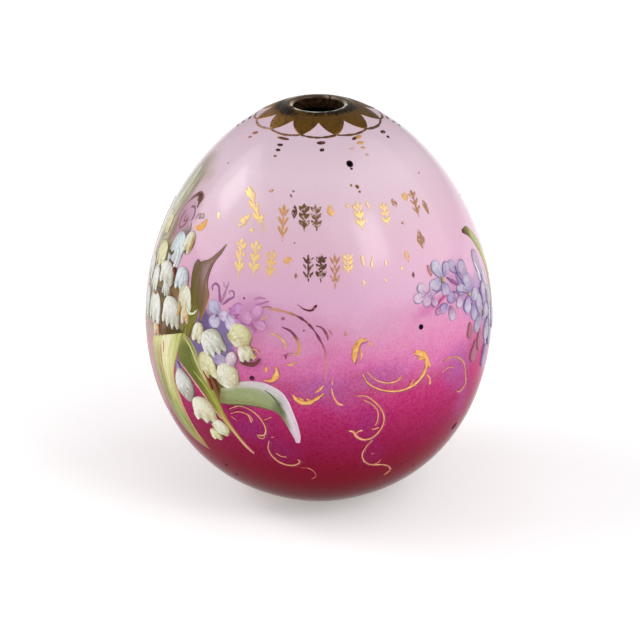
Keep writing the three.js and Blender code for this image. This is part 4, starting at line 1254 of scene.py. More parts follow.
# Thin lines on or beside a leaf: leaf, stations and colour.
PALE_OLIVE = (196, 196, 140)
LEAF_LINES = [
    ("leaf_tall", [(-41.4, 22.6, 0.1), (-42.3, 19.5, 0.16), (-42.4, 15.5, 0.2), (-41.4, 11, 0.1)],
     (122, 88, 88)),
    ("leaf_light", [(-62.5, -5, 0.16), (-62.4, -9, 0.24), (-61.6, -13, 0.2), (-60.2, -17, 0.12)],
     (150, 118, 70)),
    ("leaf_light", [(-65, -11, 0.12), (-63.6, -16, 0.2), (-60, -22, 0.14)], (122, 120, 66)),
    ("leaf_light", [(-58.4, -4, 0.14), (-59, -8.6, 0.2), (-58.8, -13, 0.16), (-58, -17, 0.1)],
     (236, 232, 202)),
    ("leaf_light", [(-60.6, -3.2, 0.16), (-60.4, -5, 0.22), (-60.8, -7, 0.1)], (192, 112, 96)),
    ("leaf_light", [(-54, -14, 0.1), (-52.8, -19, 0.16), (-51, -24.6, 0.16), (-47.6, -31, 0.1)],
     (214, 168, 142)),
    ("leaf_light", [(-56.8, -20, 0.1), (-54.2, -25.6, 0.22), (-50.2, -30.6, 0.14)], (112, 116, 54)),
    ("leaf_blade", [(-49, 1.2, 0.1), (-45.4, -1, 0.26), (-43, -4, 0.3), (-40.8, -7, 0.24),
                    (-38.2, -10, 0.1)], PALE_OLIVE),
    ("leaf_blade", [(-50.5, -6.6, 0.1), (-45.6, -9.6, 0.18), (-41.2, -13, 0.2), (-37.4, -16.6, 0.16),
                    (-33.8, -20.4, 0.1)], (222, 176, 160)),
    ("leaf_blade", [(-44, -7.6, 0.1), (-40.6, -9.8, 0.26), (-37, -13, 0.22), (-34.6, -16.4, 0.1)],
     (172, 176, 92)),
    ("leaf_blade", [(-33.6, -18.6, 0.1), (-30.2, -23, 0.2), (-26.6, -28, 0.2), (-24.2, -30.6, 0.14)],
     (214, 178, 120)),
    ("leaf_drooping", [(-31.6, -13.9, 0.1), (-25, -12.9, 0.16), (-19, -13, 0.14), (-14.6, -13.6, 0.1)],
     (140, 144, 92)),
    ("leaf_drooping", [(-17.4, -8.2, 0.1), (-14.6, -10, 0.2), (-12.6, -12.6, 0.3), (-11.9, -15.4, 0.12)],
     (96, 104, 70)),
    ("leaf_drooping", [(-31, -14.9, 0.08), (-26, -14.1, 0.12), (-20.4, -13.7, 0.12), (-16, -14.2, 0.1)],
     (112, 92, 70)),
]


def banded(bands, vivid, streak, seed):
    """Paint from bands, with fine lengthwise brush streaks."""
    def paint(u, v, lon, lat):
        colours = gradient(bands[0][1], v)
        for (start, _), (end, stops) in zip(bands, bands[1:]):
            colours = mix(colours, gradient(stops, v), ease(start, end, u))
        streaks = 1 + streak * cloud(v * 6, u * 2.5, 0.55, seed)
        return strengthen(colours, vivid) * streaks[..., None]
    return paint


def leaves():
    for number, (name, stations) in enumerate(LEAF_EDGES.items()):
        shell = Shell()
        add_leaf(shell, stations, banded(LEAF_PAINT[name], LEAF_VIVID[name], 0.045, number))
        if name == "leaf_tall":
            add_leaf(shell, TALL_LEFT_EDGES, banded(TALL_LEFT_PAINT, TALL_LEFT_VIVID, 0.05, 40), lift=0.1)
        for leaf_name, line, colour in LEAF_LINES:
            if leaf_name == name:
                add_stroke(shell, line, colour, lift=0.14, thickness=0.04, waver=0.15, seed=number)
        shell.build(name + "_enamel", GREEN_ENAMEL, "green_enamel", [name])


# ---- Bells of lily of the valley ----
# Light, middle and shade.
WHITE_TONES = ((232, 230, 224), (206, 203, 192), (160, 158, 134))
GREY_TONES = ((214, 214, 212), (184, 184, 176), (136, 136, 110))
BLUE_TONES = ((222, 232, 236), (196, 200, 206), (160, 158, 160))
CREAM_TONES = ((232, 230, 212), (214, 206, 172), (178, 166, 126))
YELLOW_TONES = ((226, 222, 178), (206, 198, 152), (172, 160, 104))
OCHRE_TONES = ((222, 212, 178), (208, 176, 132), (160, 122, 80))
BROWN_TONES = ((226, 204, 168), (200, 160, 120), (150, 104, 70))
PINK_TONES = ((226, 208, 214), (206, 180, 188), (160, 130, 150))
SILVER_TONES = ((222, 222, 220), (204, 202, 196), (154, 150, 134))
LIP_WHITE = (240, 238, 230)
DAB_WHITE = (248, 247, 242)
HALO_BROWN = (146, 104, 96)
HALO_DARK = (92, 68, 34)  # in the thick of the bunch, at the left edge
BUNCH_EDGE_LON = -52  # the thick of the bunch lies left of this longitude
HALO = 0.35  # brown outline left round a bell, mm

# Centre lon, lat, width, height, tilt, tips, tones, side of the shade, name in the CAD model or None.
BELLS = [
    (-78.5, 25.5, 3.4, 5.4, 8, 3, YELLOW_TONES, -1, None),
    (-73.6, 17.8, 6.6, 6.4, 6, 3, YELLOW_TONES, -1, "bell_edge_upper"),
    (-81, 12, 5, 6.4, 4, 3, GREY_TONES, -1, None),
    (-73.4, 10.8, 5, 6.4, 2, 3, WHITE_TONES, -1, None),
    (-62.4, 10.6, 4.2, 3.4, -5, 3, GREY_TONES, 1, None),
    (-64.5, 14.6, 7.6, 5.6, 6, 3, WHITE_TONES, 1, "bell_mid_grey"),
    (-56.6, 25.3, 3.8, 5.4, -4, 2, CREAM_TONES, 1, "bell_upper_cream"),
    (-62.8, 22, 6.4, 8.4, 0, 3, BLUE_TONES, -1, "bell_upper_grey"),
    (-54.3, 15.6, 5.4, 5.4, 8, 3, BLUE_TONES, 1, "bell_mid_blue"),
    (-78.5, 2.6, 5, 8, 2, 3, GREY_TONES, -1, None),
    (-69.2, 3.6, 7.8, 7.8, 2, 3, WHITE_TONES, -1, "bell_edge_lower"),
    (-65.9, -1.6, 3.8, 3, 12, 2, BROWN_TONES, 1, None),
    (-49.1, 6.8, 3.2, 4, 10, 2, OCHRE_TONES, 1, None),
    (-50.4, 11, 5, 6.2, 14, 3, CREAM_TONES, -1, "bell_cream_side"),
    (-56.9, 5.6, 8, 7.2, 2, 4, WHITE_TONES, 1, "bell_big_white"),
    (-42.3, 3.6, 3.6, 4.8, -8, 2, CREAM_TONES, 1, None),
    (-23.6, 1.3, 4.2, 4.2, 24, 3, CREAM_TONES, 1, None),
    (-26, 5.6, 6.1, 5.4, -20, 1, YELLOW_TONES, 1, "bell_yellow"),
    (-36, 2, 6.8, 6.4, 30, 4, WHITE_TONES, 1, "bell_round_white"),
    (-28.7, -1.2, 3, 3.8, -24, 1, PINK_TONES, 1, None),
    (-37.8, -4.8, 5.2, 6.8, 24, 2, YELLOW_TONES, -1, "bell_pair_left"),
    (-30, -6.1, 6.2, 6, 0, 1, CREAM_TONES, 1, "bell_pair_right"),
    (-49, -13.2, 6.2, 8.2, 22, 0, SILVER_TONES, 1, "bud_upper"),
    (-41, -19.2, 7.8, 6.8, 4, 3, CREAM_TONES, 1, "bud_middle"),
    (-34.8, -23.5, 5, 3.8, -30, 1, CREAM_TONES, 1, "bud_lower"),
    (-37.8, -26.6, 3.4, 3.2, 10, 2, YELLOW_TONES, 1, None),
]

# Touches over the bells: stations and colour.
BELL_TOUCHES = [
    ([(-66.4, 20.9, 0.15), (-65.6, 20.2, 0.4), (-64.2, 20.2, 0.25), (-63.4, 21.2, 0.12)], (98, 88, 52)),
    ([(-60.6, 23, 0.16), (-59.8, 20.6, 0.3), (-60.2, 17.8, 0.3), (-61.2, 16, 0.12)], (222, 226, 226)),
    ([(-54.6, 27.2, 0.08), (-54.0, 25.4, 0.14), (-54.6, 23.4, 0.08)], (205, 168, 104)),
    ([(-52.2, 10, 0.16), (-51.8, 7.8, 0.26), (-52.6, 6, 0.12)], (200, 158, 92)),
    ([(-48.4, 9.2, 0.24), (-46.4, 8, 0.32), (-44.6, 8.5, 0.2), (-43.6, 9.6, 0.1)], (222, 224, 190)),
    ([(-47.2, -13.6, 0.14), (-46.7, -14, 0.16)], (110, 104, 84)),
    ([(-25.6, 4.6, 0.18), (-24.4, 2.8, 0.26), (-23.2, 2.4, 0.2)], (206, 190, 150)),
    ([(-25.4, -1.3, 0.12), (-23, -1.7, 0.32), (-20.2, -1.2, 0.36), (-18.6, 0.3, 0.16)], (112, 62, 58)),
    ([(-21.6, 2.6, 0.12), (-20.2, 2.8, 0.16), (-19, 1.8, 0.12)], (214, 160, 134)),
    ([(-20.8, 0.9, 0.3), (-19.9, 0.7, 0.32)], (222, 160, 92)),
    ([(-36.6, -7, 0.3), (-35, -9.6, 0.45), (-34, -12, 0.3)], (128, 80, 52)),
    ([(-39.4, -6.2, 0.14), (-37.4, -8.6, 0.3), (-36, -11.4, 0.2)], (150, 78, 46)),
    ([(-41.6, -19, 0.5), (-40.4, -19.4, 0.6)], (222, 210, 150)),
    ([(-63.8, 18.4, 0.12), (-61.6, 18, 0.24), (-59.4, 16.6, 0.3), (-57.8, 15.2, 0.18)], (128, 62, 46)),
    ([(-70.6, 7.8, 0.12), (-69.6, 7.6, 0.3), (-68.4, 8.2, 0.14)], (176, 96, 60)),
]


def bell_outline(width, height, tips):
    """A round dome above a flared mouth cut into pointed tips, or a pointed bud when tips is 0."""
    def outline(angle):
        c, s = np.cos(angle), np.sin(angle)
        if tips == 0:
            return width / 2 * c * np.abs(c) ** 0.7, height / 2 * s
        lower = ease(0.25, -0.5, s)
        rise = np.abs(s) ** (0.7 if width > height else 1)
        across = np.sign(c) * np.abs(c) ** (0.9 - 0.34 * lower)
        teeth = 1 - np.abs(2 * np.mod((across + 1) * tips / 2, 1) - 1)
        reach = np.where(s < 0, -np.abs(s) ** 0.6, rise) * (1 - 0.4 * lower * (1 - teeth))
        waist = 1 - 0.12 * np.exp(-(((s + 0.25) / 0.3) ** 2))
        return width / 2 * across * waist * (0.88 + 0.2 * lower), height / 2 * reach
    return outline


def bell_paint(tones, width, height, tips, seed, side):
    """tones are light, middle and shade; side is 1 when the shade lies at the right, else -1."""
    light, middle, shade = tones

    def paint(x, y, rho, lon, lat):
        across, down = x / (width / 2), -y / (height / 2)
        groove = 0.5 + 0.5 * np.cos(math.pi * tips * (across + 1))
        colours = mix(light, middle, ease(-0.7, 0.9, side * across + 0.25 * down))
        colours = mix(colours, shade, 0.75 * ease(0.62, 1.0, rho) * ease(-0.7, 0.7, side * across))
        colours = mix(colours, shade, 0.85 * groove * ease(-0.2, 0.6, down))
        lips = (1 - groove) * ease(0.45, 0.85, down) * ease(1.2, 0.8, rho)
        colours = mix(colours, LIP_WHITE, 0.7 * lips)
        dabs = cloud(x * 1.6, y * 0.7, 0.8, seed + 50)
        colours = mix(colours, shade, 0.4 * ease(0.5, 1.5, dabs))
        colours = mix(colours, DAB_WHITE, 0.6 * ease(0.5, 1.5, -dabs) * ease(0.95, 0.6, rho))
        return colours * (1 + 0.03 * cloud(x, y, 0.5, seed))[:, None]
    return paint


def halo_paint(tone):
    return lambda x, y, rho, lon, lat: mix(tone, ground_colour(lon, lat), ease(0.7, 1, rho))


def bells():
    fillers = Shell()
    for number, (lon, lat, width, height, tilt, tips, tones, side, name) in enumerate(BELLS):
        shell = Shell() if name else fillers
        halo = ellipse(width / 2 + HALO, height / 2 + HALO)
        tone = HALO_BROWN if lon > BUNCH_EDGE_LON else HALO_DARK
        paint = bell_paint(tones, width, height, tips, number, side)
        add_patch(shell, (lon, lat), halo, halo_paint(tone), tilt=tilt, thickness=0.03)
        add_patch(shell, (lon, lat), bell_outline(width, height, tips), paint, tilt=tilt,
                  lift=0.06 + 0.012 * number, thickness=0.19, spokes=72, rings=10, dome=2.6)
        if name:
            shell.build(name + "_enamel", WHITE_ENAMEL, "white_enamel", [name])
    for number, (line, colour) in enumerate(BELL_TOUCHES):
        add_stroke(fillers, line, colour, lift=0.5, thickness=0.06, waver=0.12, seed=number)
    fillers.build("bells_behind", WHITE_ENAMEL, "white_enamel")


# ---- Lilac florets ----
LILAC_LINE = (108, 84, 142)
LILAC_EDGE_LINE = (150, 134, 172)  # softer, where the petals are seen edge on
LILAC_VIVID = 1.1  # petals are this much stronger in colour than in the tables
RIGHT_VIVID = 1.0  # the same for those at the right and on the back, which face the lamp
RIGHT_TONE = 0.93  # and those are laid on darker by this share, painted shade against the lamp they face
MAUVE_LONS = (-29, -18)  # the petals between these are laid on thinly, without dark outlines
PETAL_SWELL = 1.22
CURL_SWELL = 1.35

# Petals: centre lon, lat, length, width, direction (degrees, outer end), light, deep, shaded side.
FLORETS = {
    "lilac_left": [
        (-36.6, 11.4, 3.2, 2.6, 150, (196, 190, 212), (160, 150, 176), 1),
        (-35.9, 8.4, 3, 2.5, 250, (204, 198, 214), (170, 158, 190), -1),
        (-32.8, 9.9, 2.3, 2.1, 10, (216, 200, 218), (184, 160, 194), -1),
        (-30, 8.7, 3.4, 2.3, 300, (220, 208, 222), (186, 168, 198), -1),
        (-33.6, -1.9, 3.8, 2.2, 10, (178, 164, 190), (146, 130, 170), 1),
        (-51.4, -9.6, 1.6, 3.4, 20, (160, 142, 168), (132, 112, 146), 1),
    ],
    "lilac_right_top": [
        (46.2, 20, 3.7, 2.5, 110, (214, 208, 226), (180, 164, 196), 1),
        (50.4, 19.2, 3.1, 1.9, 55, (202, 184, 212), (170, 148, 186), 1),
        (43.9, 16.2, 3.3, 2.6, 205, (214, 202, 222), (174, 158, 196), 1),
        (47.9, 14.4, 2.9, 2.2, 285, (200, 186, 212), (166, 146, 184), 1),
    ],
    "lilac_right_pale": [
        (37.6, 16.2, 2.6, 1.9, 120, (228, 204, 220), (206, 172, 204), 1),
        (35.8, 14.2, 2.6, 1.9, 185, (232, 206, 222), (208, 172, 204), 1),
        (39.4, 13.4, 3.2, 2, 230, (218, 186, 212), (180, 132, 174), 1),
        (41.6, 14.8, 2.6, 1.6, 40, (214, 184, 210), (180, 142, 178), -1),
        (41.6, 12.2, 2.2, 1.5, 300, (214, 176, 206), (176, 126, 170), -1),
        (43, 9.4, 1.6, 1.2, 230, (208, 152, 188), (178, 116, 162), 1),
    ],
    "lilac_right_bud": [
        (54.6, 18.8, 3.3, 2.1, 125, (196, 182, 210), (158, 138, 180), 1),
        (60, 17, 3.8, 2.6, 105, (204, 186, 208), (164, 138, 178), -1),
        (56.6, 15, 3, 1.4, 110, (178, 158, 192), (144, 118, 164), -1),
    ],
    "lilac_right_small": [
        (50.2, 11.4, 2.6, 2.2, 150, (190, 170, 208), (144, 120, 168), 1),
        (45.7, 9.6, 2.4, 1.9, 200, (190, 170, 206), (158, 124, 172), -1),
        (49.2, 7.4, 3, 1.9, 280, (216, 190, 214), (160, 112, 152), 1),
        (54, 9.4, 2.4, 1.9, 250, (218, 198, 218), (184, 154, 190), 1),
    ],
    "lilac_right_full": [
        (60.9, 13, 3.8, 2.6, 100, (202, 192, 214), (168, 150, 186), -1),
        (56.6, 12.2, 3.4, 2.3, 155, (200, 190, 210), (176, 152, 186), 1),
        (63.9, 8.6, 3, 2.5, 10, (204, 196, 210), (172, 158, 188), -1),
        (58.2, 7.4, 3, 2.5, 250, (210, 198, 220), (172, 154, 194), -1),
        (61.6, 4.6, 3.4, 2.2, 280, (194, 182, 210), (140, 122, 164), 1),
    ],
    "lilac_right_low": [
        (66.8, 5, 4.6, 2.8, 100, (200, 186, 206), (158, 140, 172), 1),
        (63.9, 0.4, 3.4, 2.8, 235, (180, 168, 188), (150, 134, 166), 1),
        (71.4, 1.6, 4, 2.6, 20, (196, 188, 204), (160, 148, 178), -1),
    ],
    "lilac_back_top": [
        (136, 17.4, 3.6, 2.7, 100, (210, 204, 224), (172, 158, 194), 1),
        (140.4, 14.6, 3.4, 2.5, 10, (208, 200, 222), (172, 158, 194), 1),
        (136.4, 11.2, 3.4, 2.6, 275, (206, 196, 220), (164, 150, 190), 1),
        (132.6, 14.2, 3.4, 2.5, 185, (212, 204, 224), (176, 160, 196), 1),
    ],
    "lilac_back_low": [
        (138, 5.4, 3, 2.3, 105, (202, 190, 216), (164, 146, 186), 1),
        (142, 2.2, 3, 2.3, 350, (204, 194, 218), (166, 148, 188), 1),
        (138.6, 0, 3, 2.3, 265, (200, 188, 214), (160, 142, 184), 1),
        (135.2, 2.8, 3, 2.2, 190, (206, 196, 218), (168, 150, 188), 1),
    ],
}
LILAC_FILLERS = [
    (-28.4, 12.4, 3.2, 1.8, 40, (206, 150, 196), (176, 112, 168), 1),
    (-24.6, 10.6, 3, 2.2, 10, (212, 156, 194), (182, 116, 168), -1),
    (-23.6, 7.6, 3, 2, 320, (206, 148, 192), (170, 102, 158), 1),
    (-20.8, 12.4, 3, 1.8, 60, (216, 162, 200), (186, 122, 172), -1),
    (-27, 8.6, 2.4, 2, 200, (202, 152, 196), (164, 106, 164), 1),
    (-19.4, 9.4, 2.6, 1.7, 350, (212, 154, 194), (184, 118, 166), 1),
    (72, 15.4, 5.6, 2.8, 95, (204, 182, 202), (168, 146, 182), -1),
    (75.4, 9.4, 4.6, 3, 110, (200, 186, 202), (168, 150, 178), 1),
    (71.8, 7.8, 3.4, 2.6, 60, (214, 198, 212), (180, 162, 186), 1),
    (77.6, 3.6, 5.2, 2.8, 80, (196, 190, 206), (160, 148, 176), -1),
    (71.4, -3.4, 4, 2.8, 250, (190, 180, 196), (154, 138, 166), 1),
    (75.6, -6.2, 4.4, 2.6, 280, (188, 176, 194), (150, 132, 164), -1),
    (70.2, -10.6, 4.6, 2.2, 265, (180, 150, 180), (150, 118, 156), 1),
    (80, -2, 5, 2.8, 90, (190, 180, 198), (156, 142, 172), 1),
    (130, 20, 2.6, 1.9, 120, (206, 190, 214), (170, 150, 190), 1),
    (143, 8.6, 2.8, 2, 20, (206, 196, 218), (168, 152, 190), 1),
    (131, 7.6, 3, 2.2, 200, (198, 186, 212), (160, 142, 182), 1),
    (134, -4, 2.8, 2, 240, (196, 180, 210), (156, 136, 178), 1),
    (141, -5.4, 2.6, 1.9, 290, (192, 176, 208), (150, 130, 174), 1),
]

# Floret hearts: lon, lat, half width, half height, colour.
HEARTS = {
    "lilac_left": [(-35.1, 9.7, 0.35, 0.3, (140, 100, 110))],
    "lilac_right_top": [(47.5, 16.9, 0.4, 0.62, (176, 158, 98)), (47.3, 16.4, 0.2, 0.26, (122, 96, 80))],
    "lilac_right_full": [(60.4, 9.8, 0.46, 0.36, (194, 184, 142)), (60, 9.5, 0.2, 0.18, (128, 106, 100))],
    "lilac_right_low": [(68.9, 2.2, 0.6, 0.7, (130, 112, 96))],
    "lilac_back_top": [(136.4, 14.3, 0.5, 0.5, (186, 172, 110))],
    "lilac_back_low": [(138.6, 2.6, 0.45, 0.45, (176, 160, 100))],
}

# Lines drawn beside the lilac: stations and colour.
TENDRIL = (156, 100, 144)
TENDRILS = [
    ([(-38.5, 15.8, 0.14), (-39, 16.9, 0.2), (-37.9, 17.8, 0.22), (-36.4, 17.3, 0.2), (-35.6, 15.6, 0.24),
      (-34.6, 13.2, 0.28)], TENDRIL),
    ([(-34.8, 18.9, 0.1), (-33.9, 17.6, 0.14), (-33, 17.8, 0.12)], (190, 146, 180)),
    ([(-34.3, 12.7, 0.14), (-33.7, 14.8, 0.24), (-33.1, 17, 0.18), (-32.5, 19.2, 0.1)], (178, 130, 164)),
    ([(-33.7, 12.8, 0.24), (-31.4, 14.6, 0.22), (-29.7, 15.6, 0.16), (-30.2, 16.9, 0.14),
      (-31.5, 16.8, 0.1), (-31.8, 16, 0.1)], TENDRIL),
    ([(-31.2, 12.4, 0.1), (-29.2, 11.8, 0.5), (-27.4, 10.6, 0.5), (-26, 9.4, 0.2)], (164, 106, 156)),
    ([(-26, 9.3, 0.1), (-25.8, 11, 0.14), (-24.4, 11.9, 0.14), (-23.4, 11.5, 0.1)], (182, 126, 168)),
    ([(-22.2, 15.8, 0.12), (-20.2, 16.4, 0.2), (-18, 16.4, 0.12)], (188, 126, 168)),
    ([(-21.4, 14.4, 0.12), (-18.8, 15.2, 0.22), (-16.8, 15.9, 0.12)], (182, 118, 162)),
    ([(-19.4, 13.8, 0.1), (-17.4, 14.4, 0.16), (-15.4, 14.2, 0.1)], (176, 112, 148)),
    ([(-23.4, 9.6, 0.2), (-21.6, 8.6, 0.5), (-20.6, 7.2, 0.2)], (176, 106, 146)),
    ([(49.8, 17.1, 0.1), (52, 15.6, 0.34), (54.6, 14.1, 0.24), (55.8, 13.5, 0.1)], (146, 92, 146)),
    ([(55.6, 19, 0.12), (55.8, 16.4, 0.24), (57.4, 14.2, 0.24), (58.6, 12.6, 0.1)], (126, 102, 156)),
    ([(51.2, 12.8, 0.1), (54, 12, 0.18), (57, 11.2, 0.14), (59.4, 10.4, 0.1)], (128, 104, 150)),
    ([(41.4, 15.6, 0.1), (43.4, 14.6, 0.2), (46.2, 14.6, 0.1)], (140, 112, 160)),
    ([(42.8, 10.8, 0.1), (44.8, 11.9, 0.2), (47.8, 12.6, 0.14), (49, 12.2, 0.1)], (196, 96, 150)),
    ([(-42.9, -1.6, 0.5), (-41.2, -2.8, 0.6), (-39.6, -3.2, 0.2)], (128, 112, 146)),
    # light and shade strokes over the petals at the right edge
    ([(69.4, 16.4, 0.12), (70.6, 13.6, 0.3), (71, 10.6, 0.12)], (226, 222, 232)),
    ([(74.4, 13.4, 0.12), (75.6, 10, 0.34), (76.2, 6.6, 0.12)], (218, 216, 222)),
    ([(72.6, 12.2, 0.1), (73.4, 9, 0.3), (73.2, 6, 0.1)], (140, 124, 168)),
    ([(68.6, 9.4, 0.1), (69.6, 6.6, 0.34), (69.4, 4, 0.1)], (134, 118, 164)),
    ([(75.8, 2.6, 0.12), (76.4, -0.6, 0.34), (76.2, -3.8, 0.12)], (214, 210, 222)),
    ([(72.8, 0.2, 0.1), (73.6, -3.2, 0.34), (73.6, -6.4, 0.1)], (138, 122, 164)),
    ([(70, -5.6, 0.1), (70.8, -8.8, 0.3), (70.8, -11.8, 0.1)], (204, 186, 206)),
    # brown leaflets under the lilac at the right
    ([(58.4, 2.4, 0.3), (58, 0.2, 1.1), (58.2, -2, 0.9)], (164, 100, 118)),
    ([(65, -1, 0.3), (64.4, -4.2, 1), (64.8, -7.4, 0.7)], (166, 98, 124)),
    ([(61.6, -3.6, 0.25), (60, -6.6, 1.1), (60, -9.4, 0.8)], (160, 92, 116)),
    ([(42.2, 22, 0.12), (42.4, 20.4, 0.34), (42.9, 18.8, 0.14)], (196, 136, 128)),
    # rose bud lines at the upper left
    ([(-66.4, 33.8, 0.14), (-63.6, 34.4, 0.22), (-61.2, 33, 0.22), (-61, 30.6, 0.14)], (140, 100, 126)),
    ([(-68.8, 32.4, 0.14), (-69.6, 29.6, 0.26), (-67.4, 27.2, 0.22), (-64.6, 28.6, 0.24),
      (-63.4, 31, 0.14)], (150, 108, 124)),
    ([(-66.6, 31.4, 0.1), (-66.4, 29.6, 0.18), (-65, 29.8, 0.18), (-64.6, 31.4, 0.1)], (138, 100, 110)),
    ([(-59.2, 31.6, 0.14), (-58, 33.4, 0.2), (-55.8, 33.6, 0.14)], (176, 142, 156)),
    ([(-60.4, 30.4, 0.1), (-59.2, 28.4, 0.24), (-60.8, 26.6, 0.24), (-62.4, 25.8, 0.12)],
     (128, 110, 118)),
    # the same on the back
    ([(126, 22, 0.1), (128.4, 24.6, 0.2), (131.4, 25, 0.22), (132, 22.8, 0.16), (130.4, 21.4, 0.1)],
     TENDRIL),
    ([(134.6, 22, 0.1), (136.4, 25.4, 0.2), (139.6, 26, 0.22), (140.6, 23.8, 0.16)], TENDRIL),
    ([(127, 4, 0.1), (122.4, 4, 0.2), (118.6, 6.4, 0.2), (119.2, 9, 0.12)], TENDRIL),
]


def petal_outline(length, width):
    """An egg-shaped petal, narrower at its inner end, which lies at -x."""
    return lambda angle: (length / 2 * np.cos(angle), width / 2 * np.sin(angle) * (1 + 0.3 * np.cos(angle)))


def petal_paint(length, width, light, deep, line, side, seed, vivid, tone):
    def paint(x, y, rho, lon, lat):
        along, across = x / (length / 2), side * y / (width / 2)
        colours = mix(light, deep, 0.7 * ease(0.5, -1, along) + 0.25 * ease(0, 1, across))
        colours = mix(colours, line, 0.35 * np.exp(-((y / 0.16) ** 2)) * ease(0.6, -0.8, along))
        colours = mix(colours, line, ease(0.7, 1.0, rho) * (0.2 + 0.5 * ease(-0.2, 0.9, across)))
        return strengthen(colours, vivid) * (tone + 0.03 * cloud(x, y, 0.7, seed))[:, None]
    return paint


def add_petals(shell, petals, lift, seed):
    for number, (lon, lat, length, width, direction, light, deep, side) in enumerate(petals):
        length, width = length * PETAL_SWELL, width * PETAL_SWELL
        thin = MAUVE_LONS[0] < lon < MAUVE_LONS[1]
        at_right = lon > 0
        line = deep if thin else mix(LILAC_LINE, LILAC_EDGE_LINE, ease(60, 70, abs(lon)))
        vivid = 1.0 if thin else RIGHT_VIVID if at_right else LILAC_VIVID
        # petals at the right are laid on darker: painted shade against the lamp that faces them
        tone = RIGHT_TONE if at_right else 1.0
        paint = petal_paint(length, width, light, deep, line, side, seed + number, vivid, tone)
        add_patch(shell, (lon, lat), petal_outline(length, width), paint, tilt=direction,
                  lift=lift + 0.025 * number, thickness=0.05 if thin else 0.12, spokes=44, rings=8)


def florets():
    for number, (name, petals) in enumerate(FLORETS.items()):
        shell = Shell()
        add_petals(shell, petals, 0.05 + 0.01 * number, 100 + 10 * number)
        for lon, lat, half_width, half_height, colour in HEARTS.get(name, []):
            add_patch(shell, (lon, lat), ellipse(half_width, half_height), colour, lift=0.28,
                      thickness=0.08, spokes=16, rings=3)
        shell.build(name + "_enamel", LILAC_ENAMEL, "lilac_enamel", [name])
    shell = Shell()
    add_petals(shell, LILAC_FILLERS, 0.03, 300)
    for number, (line, colour) in enumerate(TENDRILS):
        at_right = line[0][0] > 0
        swell = 1 if at_right else CURL_SWELL
        line = [(lon, lat, half * swell) for lon, lat, half in line]
        add_stroke(shell, line, colour, lift=0.3 if at_right else 0.0, thickness=0.05, waver=0.15,
                   seed=number)
    shell.build("lilac_sprays", LILAC_ENAMEL, "lilac_enamel")


# ---- Foliage strokes at the left edge, which show between the bells ----
UNDERSIDE_OLIVE = (84, 74, 34)
FOLIAGE = [
    ([(-70, 21.5, 0.2), (-68.4, 18.6, 0.7), (-67.6, 16, 0.5), (-68, 13, 0.2)], (92, 72, 34)),
    ([(-59.6, 18.4, 0.2), (-58.8, 15, 0.8), (-59.4, 11.6, 0.7), (-57.6, 9.4, 0.3)], (96, 66, 36)),
    ([(-70, 9.2, 0.2), (-66.4, 8.8, 0.8), (-63.6, 8, 0.5)], (88, 66, 32)),
    ([(-63.6, 6.4, 0.2), (-62.9, 3.2, 0.6), (-63.2, -0.6, 0.7), (-61, -2.4, 0.3)], (98, 70, 38)),
    ([(-84, 40, 0.2), (-84.4, 32, 0.5), (-86.4, 22, 0.3)], (214, 214, 204)),
    ([(-79.6, 36, 0.1), (-80.4, 30, 0.4), (-82, 22, 0.2)], (206, 206, 190)),
    ([(-84, 44, 0.8), (-82, 36, 1.6), (-84, 28, 1.4), (-86, 20, 0.6)], (204, 204, 186)),
    ([(-78, 42, 0.4), (-77, 36, 1.2), (-79, 30, 1.2), (-81, 24, 0.4)], (188, 182, 156)),
    ([(-74, 44, 0.2), (-73, 39, 0.6), (-74.5, 33, 0.6), (-77, 27, 0.2)], (172, 152, 142)),
    ([(-73, 30, 0.2), (-71.4, 27, 0.9), (-72, 23, 0.9), (-74, 20, 0.3)], (150, 128, 106)),
    ([(-82, 30, 0.2), (-80, 24, 0.8), (-82, 18, 0.9), (-84, 12, 0.3)], (162, 154, 120)),
    ([(-47.8, 1.8, 0.3), (-47.4, 5, 1.1), (-46.2, 8.6, 1.1), (-45, 12, 0.4)], (124, 122, 50)),
    ([(-46.6, 3.4, 0.2), (-45.8, 6.6, 0.5), (-44.6, 9.6, 0.3)], (136, 138, 60)),
    ([(-52.4, 4.2, 0.2), (-50.6, 3.2, 0.9), (-48.8, 3.8, 0.4)], (132, 118, 60)),
    ([(-54, 9.2, 0.2), (-53.2, 7.4, 0.6), (-53, 5.4, 0.3)], (176, 134, 84)),
    ([(-61, 13.6, 0.2), (-59.6, 11.4, 1), (-59.6, 9, 0.4)], (136, 96, 56)),
    ([(-95, 30, 0.3), (-93, 18, 1.6), (-92, 4, 2), (-90, -10, 1.6), (-86, -22, 0.4)], (150, 152, 96)),
    ([(-101, 22, 0.3), (-100, 10, 1.3), (-98, -4, 1.6), (-94, -16, 0.4)], (124, 130, 66)),
    ([(-84, -2, 0.3), (-83, -10, 1.6), (-79, -20, 1.6), (-72, -29, 0.4)], (150, 152, 98)),
]


def foliage_paint(colour, seed):
    def paint(u, v, lon, lat):
        shaded = mix(colour, mix(colour, UNDERSIDE_OLIVE, 0.5), ease(0.1, -1, v))
        return shaded * (1 + 0.07 * cloud(v * 5, u * 3, 0.6, seed))[..., None]
    return paint


def foliage():
    shell = Shell()
    for number, (line, colour) in enumerate(FOLIAGE):
        add_stroke(shell, line, foliage_paint(colour, number), thickness=0.08, across=14, waver=0.1,
                   seed=number)
    shell.build("foliage_edge", GREEN_ENAMEL, "green_enamel")


